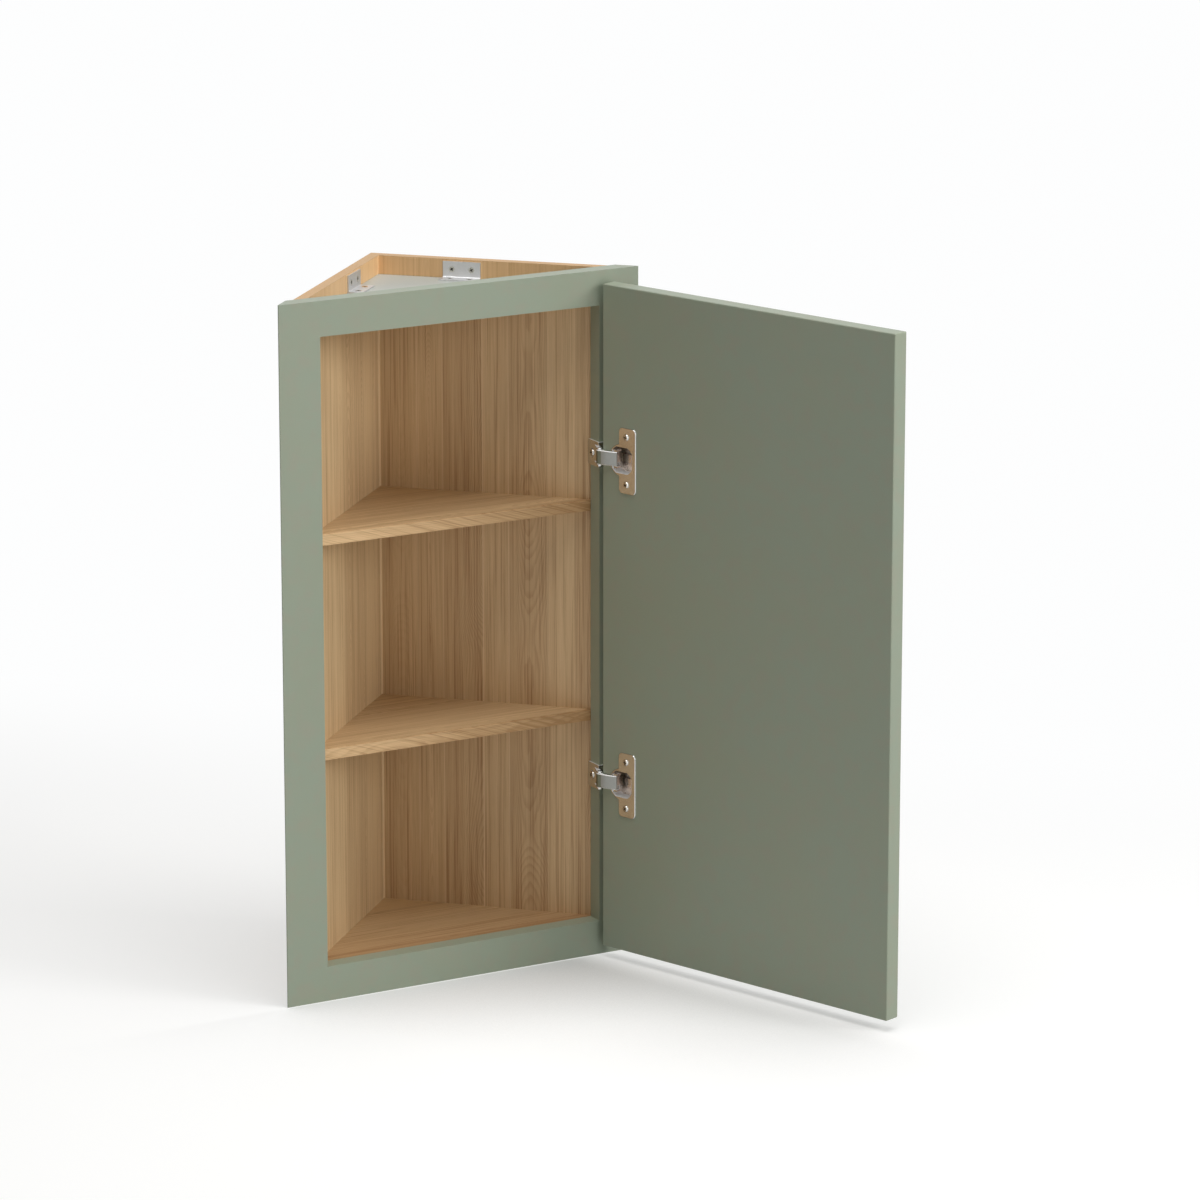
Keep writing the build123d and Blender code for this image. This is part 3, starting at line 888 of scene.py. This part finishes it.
@dataclass
class ScrewSet:
    """Cross-head wood screws of one size, which share a CAD node."""

    node: str
    head_radius: float
    shank_radius: float
    length: float
    countersunk: bool
    head_height: float = 1.4 * MM
    crown_share: float = 0.72          # a domed head's top, in head radii
    crown_curve: int = 3               # power by which its side bends in
    recess_width: float = 1.15 * MM
    recess_share: float = 1.15         # length of a cross slot, in head radii
    recess_depth: float = 1.0 * MM
    thread_pitch: float = 1.6 * MM
    core_share: float = 0.7            # under the thread, in shank radii
    first_turn: float = 0.28           # of the first screw's slots, in radians
    turn_step: float = 0.7             # the slots of the next screw are turned this much more
    sharp_angle: float = radians(35)
    head_sides: int = 40
    head_rings: int = 7                # bands of the head's side, for its curve
    well_sides: int = 16
    well_mouth: float = 0.95           # radius of the recess's middle, in slot widths
    well_foot: float = 0.25
    well_depth: float = 2.2            # in slot depths; half of it stands above the head
    shank_sides: int = 20
    core_start: float = 1.2            # below the head's top, in slot depths
    tip_length: float = 2.0            # in shank radii
    tip_share: float = 0.15            # of the core's radius that is left at the point
    rib_sides: int = 3                 # of the thread's ridge
    crest_share: float = 0.98          # of the thread's room that its ridge fills

    def build(
        self, material: bpy.types.Material, painted_recess_shade: bpy.types.Material
    ) -> bpy.types.Object:
        """Makes the screws and puts them in the CAD node's place.

        Args:
            material: the finish of the screws.
            painted_recess_shade: the dark finish inside their cross slots, a painted shade.

        Returns:
            The screws' object.
        """
        seats = screw_seats(self.node)
        points = bpy.data.meshes.new(f"{self.node}_seats")
        points.from_pydata([seat.top for seat in seats], [], [])
        points.attributes.new("out", "FLOAT_VECTOR", "POINT")
        points.attributes.new("turn", "FLOAT", "POINT")
        for number, seat in enumerate(seats):
            points.attributes["out"].data[number].vector = seat.axis
            turn = self.first_turn + self.turn_step * number
            points.attributes["turn"].data[number].value = turn
        carrier = bpy.data.objects.new(f"{self.node}_carrier", points)
        bpy.context.scene.collection.objects.link(carrier)
        modifier = carrier.modifiers.new("screws", "NODES")
        tree, sockets = self._tree(material, painted_recess_shade)
        modifier.node_group = tree
        for name, value in self._sizes().items():
            modifier[sockets[name]] = value
        ready = carrier.evaluated_get(bpy.context.evaluated_depsgraph_get())
        mesh = bpy.data.meshes.new_from_object(ready)
        mesh.name = f"{self.node}_cut"
        carrier.modifiers.clear()
        bpy.data.objects.remove(carrier)
        mesh.shade_smooth()
        mesh.set_sharp_from_angle(angle=self.sharp_angle)
        return place_piece(f"{self.node}_cut", mesh, self.node)

    def _sizes(self) -> dict[str, float]:
        """Value of each named input of the tree."""
        return {
            "Head Radius": self.head_radius,
            "Head Height": self.head_height,
            "Crown Share": self.crown_share,
            "Countersunk": 1.0 if self.countersunk else 0.0,
            "Shank Radius": self.shank_radius,
            "Length": self.length,
            "Core Share": self.core_share,
            "Recess Width": self.recess_width,
            "Recess Share": self.recess_share,
            "Recess Depth": self.recess_depth,
            "Thread Pitch": self.thread_pitch,
        }

    def _tree(
        self, material: bpy.types.Material, painted_recess_shade: bpy.types.Material
    ) -> tuple[bpy.types.NodeTree, dict[str, str]]:
        """Geometry Nodes tree that puts a screw on every point.

        Args:
            material: the screws' finish.
            painted_recess_shade: the finish inside their cross slots, a painted shade.

        Returns:
            The tree, and the identifier of each named input.
        """
        tree = bpy.data.node_groups.new(f"{self.node}_tree", "GeometryNodeTree")
        face = tree.interface
        face.new_socket("Geometry", in_out="INPUT", socket_type="NodeSocketGeometry")
        face.new_socket("Geometry", in_out="OUTPUT", socket_type="NodeSocketGeometry")
        sockets = {}
        for name in self._sizes():
            item = face.new_socket(name, in_out="INPUT", socket_type="NodeSocketFloat")
            sockets[name] = item.identifier
        graph = Graph(tree)
        entry = graph.node("NodeGroupInput")
        size = {name: Wire(graph, entry.outputs[name]) for name in self._sizes()}
        screw = self._screw(graph, size, painted_recess_shade)
        named = "GeometryNodeInputNamedAttribute"
        axis = graph.add(named, {"data_type": "FLOAT_VECTOR"}, {"Name": "out"})
        turn = graph.add(named, {"data_type": "FLOAT"}, {"Name": "turn"})
        facing = graph.add("FunctionNodeAlignRotationToVector", {"axis": "Z"}, {"Vector": axis})
        about = graph.add("FunctionNodeAxisAngleToRotation", None, {"Axis": UP, "Angle": turn})
        rotation = graph.add(
            "FunctionNodeRotateRotation",
            {"rotation_space": "LOCAL"},
            {"Rotation": facing, "Rotate By": about},
        )
        points = Wire(graph, entry.outputs["Geometry"])
        copies = graph.add(
            "GeometryNodeInstanceOnPoints",
            None,
            {"Points": points, "Instance": screw, "Rotation": rotation},
        )
        real = graph.add("GeometryNodeRealizeInstances", None, {0: copies})
        recess = graph.add("GeometryNodeMaterialSelection", None, {"Material": painted_recess_shade})
        rest = graph.add("FunctionNodeBooleanMath", {"operation": "NOT"}, {0: recess})
        dressed = graph.add(
            "GeometryNodeSetMaterial", None, {0: real, "Selection": rest, "Material": material}
        )
        graph.node("NodeGroupOutput", None, {0: dressed})
        return tree, sockets

    def _screw(
        self, graph: Graph, size: dict[str, Wire], painted_recess_shade: bpy.types.Material
    ) -> Wire:
        """One screw, pointing up from its head's top at the origin.

        Args:
            graph: the tree to build in.
            size: the wire of each named size.
            painted_recess_shade: the finish of what the cutters leave, a painted shade.

        Returns:
            The screw's geometry.
        """
        parts = [self._head(graph, size, painted_recess_shade), *self._shank(graph, size)]
        return graph.add("GeometryNodeJoinGeometry", None, {0: parts})

    def _head(
        self, graph: Graph, size: dict[str, Wire], painted_recess_shade: bpy.types.Material
    ) -> Wire:
        """The screw's head, domed or countersunk, with its cross recess cut.

        Args:
            graph: the tree to build in.
            size: the wire of each named size.
            painted_recess_shade: the finish of what the cutters leave, a painted shade.

        Returns:
            The head's geometry.
        """
        vector = "ShaderNodeCombineXYZ"
        height = size["Head Height"]
        radius = size["Head Radius"]
        sunk = size["Countersunk"]
        sides = {"Vertices": self.head_sides, "Side Segments": self.head_rings}
        blank = graph.add(
            "GeometryNodeMeshCylinder",
            {"fill_type": "NGON"},
            {**sides, "Radius": radius, "Depth": height},
        )
        place = graph.add("GeometryNodeInputPosition")
        parts = graph.node("ShaderNodeSeparateXYZ", None, {0: place})
        x, y, z = (Wire(graph, part) for part in parts.outputs)
        rise = z / height + 0.5
        domed = 1 - (1 - size["Crown Share"]) * rise ** self.crown_curve
        root = size["Shank Radius"] / radius
        cone = root + (1 - root) * rise
        profile = domed * (1 - sunk) + cone * sunk
        spot = graph.add(vector, None, {0: x * profile, 1: y * profile, 2: z - height / 2})
        head = graph.add("GeometryNodeSetPosition", None, {0: blank, "Position": spot})

        width = size["Recess Width"]
        length = radius * size["Recess Share"]
        depth = size["Recess Depth"]
        cutters = []
        for slot in ((length, width), (width, length)):
            box = graph.add(vector, None, {0: slot[0], 1: slot[1], 2: depth * 2})
            cutters.append(graph.add("GeometryNodeMeshCube", None, {"Size": box}))
        well = {
            "Vertices": self.well_sides,
            "Radius Top": width * self.well_mouth,
            "Radius Bottom": width * self.well_foot,
            "Depth": depth * self.well_depth,
        }
        cutters.append(graph.add("GeometryNodeMeshCone", None, well))
        # what the cutters leave takes the dark finish: painted shade in the cross slots
        dull = "GeometryNodeSetMaterial"
        cutters = [graph.add(dull, None, {0: cut, "Material": painted_recess_shade}) for cut in cutters]
        return graph.add(
            "GeometryNodeMeshBoolean",
            {"operation": "DIFFERENCE", "solver": "EXACT"},
            {0: head, 1: cutters, "Self Intersection": True},
        )

    def _shank(self, graph: Graph, size: dict[str, Wire]) -> list[Wire]:
        """The screw's core, point and thread.

        Args:
            graph: the tree to build in.
            size: the wire of each named size.

        Returns:
            The geometry of the three.
        """
        radius = size["Shank Radius"]
        core_radius = radius * size["Core Share"]
        tip = radius * self.tip_length
        shank = size["Length"] - tip
        core_start = size["Recess Depth"] * self.core_start
        core = {
            "Vertices": self.shank_sides,
            "Radius": core_radius,
            "Depth": shank - core_start,
        }
        core = graph.add("GeometryNodeMeshCylinder", None, core)
        point = {
            "Vertices": self.shank_sides,
            "Radius Top": core_radius,
            "Radius Bottom": core_radius * self.tip_share,
            "Depth": tip,
        }
        point = graph.add("GeometryNodeMeshCone", None, point)
        thread_height = shank - size["Head Height"]
        spiral = {
            "Resolution": self.shank_sides,
            "Rotations": thread_height / size["Thread Pitch"],
            "Start Radius": core_radius,
            "End Radius": core_radius,
            "Height": thread_height,
        }
        spiral = graph.add("GeometryNodeCurveSpiral", None, spiral)
        crest = (radius - core_radius) * self.crest_share
        rib = {"Resolution": self.rib_sides, "Radius": crest}
        rib = graph.add("GeometryNodeCurvePrimitiveCircle", None, rib)
        inputs = {"Curve": spiral, "Profile Curve": rib, "Fill Caps": True}
        thread = graph.add("GeometryNodeCurveToMesh", None, inputs)
        return [
            self._lowered(graph, core, (shank + core_start) / 2),
            self._lowered(graph, point, size["Length"]),
            self._lowered(graph, thread, shank),
        ]

    @staticmethod
    def _lowered(graph: Graph, shape: Wire, drop: Wire) -> Wire:
        """Geometry moved down by a distance."""
        place = graph.add("ShaderNodeCombineXYZ", None, {2: drop * -1})
        return graph.add("GeometryNodeTransform", None, {0: shape, "Translation": place})


# ----------------------------------------------------------------------------- sub-assemblies
@dataclass
class Carcass:
    """The two wall panels, the top and bottom boards and the shelves with their lippings."""

    shelf_count: int = 2
    board_top: float = field(default_factory=lambda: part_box("top_board")[1].z)
    panel_top: float = field(default_factory=lambda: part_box("back_panel")[1].z)

    def build(self) -> list[bpy.types.Object]:
        """Dresses the wood and returns its objects."""
        floor_board = Oak(
            "oak_bottom_board",
            Grain.BOARD,
            seed=3.4,
            mean_tone=-0.40,
            # painted shade: the bottom board is darker towards the front
            painted_light_drift=(4.4, -4.4, 0.0),
            strip_contrast=0.05,
            joint_share=0.0,
        )
        top_oak = Oak("oak_top_board", Grain.BOARD, seed=8.1, strip_contrast=0.05, joint_share=0.0)
        top = FacedBoard(
            "grey_faced_oak",
            top_oak,
            facing=screen(183, 187, 181),
            fleck=screen(170, 173, 167),
            face_height=self.board_top,
        )
        side = Oak(
            "oak_side_panel",
            Grain.SIDE_PANEL,
            seed=5.81,
            # painted light: paler than the back panel of the same oak, for the light that falls on
            # the side panel
            mean_tone=0.07,
            arris=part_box("back_panel")[0].y - 2.5 * MM,
            arris_width=5 * MM,
            # painted light above the top board, where the panel stands in open light
            painted_light_foot=self.board_top,
            rim=self.panel_top,
        )
        back = Oak(
            "oak_back_panel",
            Grain.BACK_PANEL,
            seed=12.675,
            mean_tone=0.35,
            # painted light: the back panel is paler towards the top
            painted_light_drift=(0.0, 0.0, -0.15),
            arris=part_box("side_panel")[1].x + 0.4 * MM,
            arris_width=0.8 * MM,
            # painted light above the top board, where the panel stands in open light
            painted_light_foot=self.board_top,
            rim=self.panel_top,
        )
        pieces = [
            dress("back_panel", back.material()),
            dress("side_panel", side.material()),
            dress("bottom_board", floor_board.material()),
            dress("top_board", top.material()),
        ]
        for number in range(1, self.shelf_count + 1):
            shelf = Oak(
                f"oak_shelf_{number}",
                Grain.BOARD,
                seed=20.3 + 6.7 * number,
                strip_contrast=0.05,
                joint_share=0.0,
            )
            lipping = Oak(
                f"oak_lipping_{number}",
                Grain.LIPPING,
                seed=41.2 + 3.3 * number,
                pale=screen(226, 190, 143),
                deep=screen(170, 130, 86),
                mean_tone=0.46,
                strip_width=61 * MM,
                rings=Rings(spacing=3.6 * MM),
                slant=0.35,
                # painted light and shade: the lipping is paler at the side panel's end and darker
                # towards the hinges
                painted_light_drift=(1.7, 1.7, 0.0),
                joint_share=0.0,
            )
            pieces.append(dress(f"shelf_{number}", shelf.material()))
            pieces.append(dress(f"shelf_{number}_lipping", lipping.material()))
        return pieces


@dataclass
class FaceFrame:
    """The painted stiles and rails, and the dowels in their joints."""

    paint: bpy.types.Material
    members: tuple[str, ...] = ("left_stile", "right_stile", "bottom_rail", "top_rail")

    def build(self) -> list[bpy.types.Object]:
        """Dresses the frame and returns its objects."""
        beech = PlainWood("beech", screen(214, 178, 136), screen(186, 146, 102))
        dowels = dress("frame_dowels", beech.material())
        return [dress(node, self.paint) for node in self.members] + [dowels]


@dataclass
class Brackets:
    """The two folded angle brackets on the top board, with their screws."""

    edge: float = 0.25 * MM
    screws: ScrewSet = field(
        default_factory=lambda: ScrewSet(
            "bracket_screws",
            head_radius=3.4 * MM,
            shank_radius=1.6 * MM,
            length=11.5 * MM,
            countersunk=True,
        )
    )

    def build(
        self,
        finish: bpy.types.Material,
        screw_finish: bpy.types.Material,
        painted_recess_shade: bpy.types.Material,
    ) -> list[bpy.types.Object]:
        """Rounds the brackets' edges and cuts their screws.

        Args:
            finish: the finish of the brackets.
            screw_finish: the finish of the screws.
            painted_recess_shade: the finish inside their cross slots, a painted shade.

        Returns:
            The objects.
        """
        pieces = [
            eased_copy(node, self.edge, (finish,)) for node in ("back_bracket", "side_bracket")
        ]
        return pieces + [self.screws.build(screw_finish, painted_recess_shade)]


@dataclass
class Door:
    """The painted slab door."""

    paint: bpy.types.Material

    def build(self) -> list[bpy.types.Object]:
        """Dresses the door and returns its object."""
        return [dress("door_panel", self.paint)]


@dataclass
class Hinge:
    """One concealed hinge: frame plate, arm, cup, their two pins and the closing spring."""

    side: str
    sheet: bpy.types.Material
    # darker, mauve-tinted plating of the cup's hollow and the spring: painted shade and reflection
    cup_hollow_shade: bpy.types.Material
    link: bpy.types.Material
    # the arm's rolled end, dark green-grey as a painted reflection of the sage paint and a painted
    # shade
    barrel: bpy.types.Material
    steel: bpy.types.Material
    # pale matt finish of the faces that look up or down: a painted highlight
    cut: bpy.types.Material
    sheet_edge: float = 0.22 * MM
    fine_edge: float = 0.12 * MM
    bend_radius: float = 1.1 * MM      # the arm is bent from sheet, so its outline is rounder
    barrel_reach: float = 3.4 * MM     # of the arm's rolled end, from the knuckle pin
    eye_reach: float = 2.2 * MM        # edges nearer to a pin's axis belong to its eye
    wing_sheet: float = 1.3 * MM       # what lies deeper than this is inside the cup
    highlight_slope: float = 0.35            # a face's upright part, over which it gets the painted highlight
    corner_angle: float = radians(60)  # an outline's edge bends at least this much
    bend_steps: int = 4

    def build(self) -> list[bpy.types.Object]:
        """Rounds the hinge's edges and returns its objects."""
        steel = (self.steel,)
        # the second finish of plate, cup and arm is the painted highlight on faces that look up or
        # down
        plate = (self.sheet, self.cut)
        cup = (self.sheet, self.cut, self.cup_hollow_shade)
        arm = (self.link, self.cut, self.barrel)
        return [
            eased_copy(self._node("frame_plate"), self.sheet_edge, plate, self._paint_highlights),
            eased_copy(self._node("cup"), self.sheet_edge, cup, self._line_cup),
            eased_copy(self._node("arm"), self.fine_edge, arm, self._bend_arm),
            eased_copy(self._node("knuckle_pin"), self.fine_edge, steel),
            eased_copy(self._node("cup_pin"), self.fine_edge, steel),
            eased_copy(self._node("spring"), self.fine_edge, (self.cup_hollow_shade,)),
        ]

    def _node(self, part: str) -> str:
        """Name of the CAD node of one of the hinge's parts."""
        return f"{self.side}_hinge_{part}"

    def _middle(self, part: str) -> Vector:
        """Middle of a part's box."""
        low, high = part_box(self._node(part))
        return (low + high) / 2

    def _paint_highlights(self, shape: bmesh.types.BMesh) -> None:
        """Gives the faces that look up or down a pale matt finish, a painted highlight along the
        sheet's upper and lower edges.
        """
        shape.normal_update()
        for face in shape.faces:
            if abs(face.normal.z) > self.highlight_slope:
                face.material_index = 1

    def _line_cup(self, shape: bmesh.types.BMesh) -> None:
        """Gives the faces below the cup's flat wings a darker, mauve-tinted finish as painted shade
        and reflection in the hollow, and those of them that look up the painted highlight.
        """
        seat = screw_seats("cup_screws")[0]
        shape.normal_update()
        heights = {
            face: (face.calc_center_median() - seat.top).dot(seat.axis) for face in shape.faces
        }
        wing_foot = max(heights.values()) - self.wing_sheet
        for face, height in heights.items():
            if height < wing_foot:
                # inside the cup, faces that look up get the painted highlight and the rest the
                # painted shade
                face.material_index = 1 if face.normal.z > self.highlight_slope else 2

    def _bend_arm(self, shape: bmesh.types.BMesh) -> None:
        """Rounds the outline of the arm's cheeks, gives its faces that look up or down the painted
        highlight and its rolled end the barrel finish of painted reflection and shade.
        """
        knuckle, far = self._middle("knuckle_pin"), self._middle("cup_pin")
        reach = (far - knuckle).normalized()
        half = max(abs(vertex.co.z - knuckle.z) for vertex in shape.verts)

        def on_outline(edge: bmesh.types.BMEdge) -> bool:
            """Whether an edge is on a cheek's outer outline and not in an eye."""
            for vertex in edge.verts:
                if abs(vertex.co.z - knuckle.z) < half - WELD:
                    return False
                for pin in (knuckle, far):
                    if (vertex.co.xy - pin.xy).length < self.eye_reach:
                        return False
            return edge.calc_face_angle(0.0) > self.corner_angle

        outline = [edge for edge in shape.edges if on_outline(edge)]
        bmesh.ops.bevel(
            shape,
            geom=outline,
            offset=self.bend_radius,
            segments=self.bend_steps,
            profile=0.5,
            affect="EDGES",
            clamp_overlap=False,
        )
        bmesh.ops.bisect_plane(
            shape,
            geom=[*shape.verts, *shape.edges, *shape.faces],
            dist=WELD,
            plane_co=knuckle + reach * self.barrel_reach,
            plane_no=reach,
        )
        self._paint_highlights(shape)
        for face in shape.faces:
            along = (face.calc_center_median() - knuckle).dot(reach)
            # the rolled end gets the dark barrel finish: painted reflection and shade
            if along < self.barrel_reach and face.material_index == 0:
                face.material_index = 2


@dataclass
class HingeScrews:
    """The screws of both hinges, in the stile and in the door."""

    frame_side: ScrewSet = field(
        default_factory=lambda: ScrewSet(
            "frame_plate_screws",
            head_radius=4.2 * MM,
            shank_radius=2.0 * MM,
            length=22 * MM,
            countersunk=False,
        )
    )
    door_side: ScrewSet = field(
        default_factory=lambda: ScrewSet(
            "cup_screws",
            head_radius=3.6 * MM,
            shank_radius=1.8 * MM,
            length=14 * MM,
            countersunk=False,
        )
    )

    def build(
        self, finish: bpy.types.Material, painted_recess_shade: bpy.types.Material
    ) -> list[bpy.types.Object]:
        """Cuts the screws.

        Args:
            finish: the finish of the screws.
            painted_recess_shade: the finish inside their cross slots, a painted shade.

        Returns:
            The objects.
        """
        return [screws.build(finish, painted_recess_shade) for screws in (self.frame_side, self.door_side)]


# ----------------------------------------------------------------------------------- studio
@dataclass
class Lamp:
    """A soft box that faces a point of the cabinet."""

    name: str
    towards: Axis                      # from the aimed point to the lamp
    distance: float
    size: float
    power: float
    aim: Axis = (0.28, -0.12, 0.38)

    def build(self) -> bpy.types.Object:
        """Hangs the lamp and returns it."""
        data = bpy.data.lights.new(self.name, "AREA")
        data.shape = "DISK"
        data.size = self.size
        data.energy = self.power
        lamp = bpy.data.objects.new(self.name, data)
        direction = Vector(self.towards).normalized()
        lamp.location = Vector(self.aim) + direction * self.distance
        lamp.rotation_euler = direction.to_track_quat("Z", "Y").to_euler()
        lamp.visible_camera = False
        bpy.context.scene.collection.objects.link(lamp)
        return lamp


@dataclass
class Studio:
    """The floor, the lamps, the surrounding light and the camera."""

    floor_reach: float = 60.0
    floor_gap: float = 0.3 * MM
    sky: float = 0.02
    frame_pixels: float = 1200.0
    focal_pixels: float = 5820.0
    sensor: float = 36.0               # in millimetres
    camera_place: Axis = (1.89385, -5.88449, 1.96478)
    camera_pitch: float = 0.25194      # below the horizon, in radians
    camera_yaw: float = 0.27139        # to the left of +Y, in radians
    view_reach: float = 200.0
    lamps: tuple[Lamp, ...] = (
        Lamp("key", towards=(1.27, -0.14, 0.62), distance=4.0, size=1.8, power=61.0),
        Lamp("overhead", towards=(0.05, -0.15, 1.0), distance=4.0, size=3.4, power=132.0),
        Lamp("side_fill", towards=(0.85, -0.5, 0.15), distance=4.0, size=3.4, power=42.5),
        Lamp("front_fill", towards=(0.1, -1.0, 0.35), distance=4.0, size=3.4, power=8.5),
    )

    def build(self) -> None:
        """Sets up everything that isn't part of the cabinet."""
        scene = bpy.context.scene
        scene.view_settings.view_transform = "Standard"
        self._lay_floor()
        self._light_world(scene)
        for lamp in self.lamps:
            lamp.build()
        self._set_camera(scene)

    def _lay_floor(self) -> None:
        """Lays the floor just under the cabinet."""
        half = self.floor_reach / 2
        turns = ((-1, -1), (1, -1), (1, 1), (-1, 1))
        corners = [(x * half, y * half, -self.floor_gap) for x, y in turns]
        mesh = bpy.data.meshes.new("floor")
        mesh.from_pydata(corners, [], [(0, 1, 2, 3)])
        mesh.materials.append(Floor().material())
        floor = bpy.data.objects.new("floor", mesh)
        bpy.context.scene.collection.objects.link(floor)

    def _light_world(self, scene: bpy.types.Scene) -> None:
        """Surrounds the cabinet with plain light, which is white where it is seen."""
        world = bpy.data.worlds.new("plain_room")
        scene.world = world
        world.use_nodes = True
        world.node_tree.nodes.clear()
        graph = Graph(world.node_tree)
        fill = graph.add("ShaderNodeBackground", None, {"Strength": self.sky})
        white = graph.add("ShaderNodeBackground", None, {"Color": ROOM_WHITE})
        inputs = {0: seen_rays(graph), 1: fill, 2: white}
        mixed = graph.add("ShaderNodeMixShader", None, inputs)
        graph.node("ShaderNodeOutputWorld", None, {"Surface": mixed})

    def _set_camera(self, scene: bpy.types.Scene) -> None:
        """Puts the camera where the photograph was taken from."""
        data = bpy.data.cameras.new("camera")
        data.sensor_width = self.sensor
        data.lens = self.focal_pixels / self.frame_pixels * self.sensor
        data.clip_end = self.view_reach
        camera = bpy.data.objects.new("camera", data)
        camera.location = self.camera_place
        camera.rotation_euler = (pi / 2 - self.camera_pitch, 0.0, self.camera_yaw)
        scene.collection.objects.link(camera)
        scene.camera = camera


def metals() -> dict[str, bpy.types.Material]:
    """The finish of each kind of metal part, by name."""
    finishes = (
        Plating("bright_nickel", screen(211, 212, 211), screen(194, 195, 194), 0.20),
        # darker and mauve-tinted for the cup's hollow: painted shade and reflection
        Plating("cup_hollow_shade", screen(200, 186, 176), screen(180, 166, 156), 0.28),
        # pale and matt, for the faces that look up or down: a painted highlight
        Plating("nickel_painted_highlight", screen(243, 244, 244), screen(226, 228, 229), 0.62),
        Plating("satin_nickel", screen(148, 149, 145), screen(137, 138, 134), 0.30),
        # dark green-grey: painted reflection of the sage paint and painted shade on the arm's
        # rolled end
        Plating("barrel_painted_reflection", screen(118, 122, 108), screen(104, 108, 95), 0.36),
        Plating("plain_steel", screen(196, 194, 190), screen(170, 168, 164), 0.22),
        Plating("screw_zinc", screen(210, 207, 200), screen(186, 183, 176), 0.16),
        # dark and dull: painted shade in the screws' cross slots
        Plating("recess_painted_shade", screen(74, 70, 64), screen(58, 55, 50), 0.55),
        Plating("satin_zinc", screen(206, 206, 206), screen(196, 196, 196), 0.44),
    )
    return {finish.name: finish.material() for finish in finishes}


def main() -> None:
    """Dresses the cabinet, one sub-assembly after the other, and sets up the studio."""
    logging.basicConfig(level=logging.INFO, format="%(message)s")
    sage = Paint(
        "satin_sage",
        colour=screen(149, 157, 137),
        cool=screen(147, 158, 140),
        warm=screen(153, 155, 137),
    ).material()
    metal = metals()
    screw_finishes = (metal["screw_zinc"], metal["recess_painted_shade"])

    made = Carcass().build() + FaceFrame(sage).build() + Door(sage).build()
    made += Brackets().build(metal["satin_zinc"], *screw_finishes)
    for side in ("lower", "upper"):
        made += Hinge(
            side,
            sheet=metal["bright_nickel"],
            cup_hollow_shade=metal["cup_hollow_shade"],
            link=metal["satin_nickel"],
            barrel=metal["barrel_painted_reflection"],
            steel=metal["plain_steel"],
            cut=metal["nickel_painted_highlight"],
        ).build()
    made += HingeScrews().build(*screw_finishes)
    Studio().build()


if __name__ == "__main__":
    main()
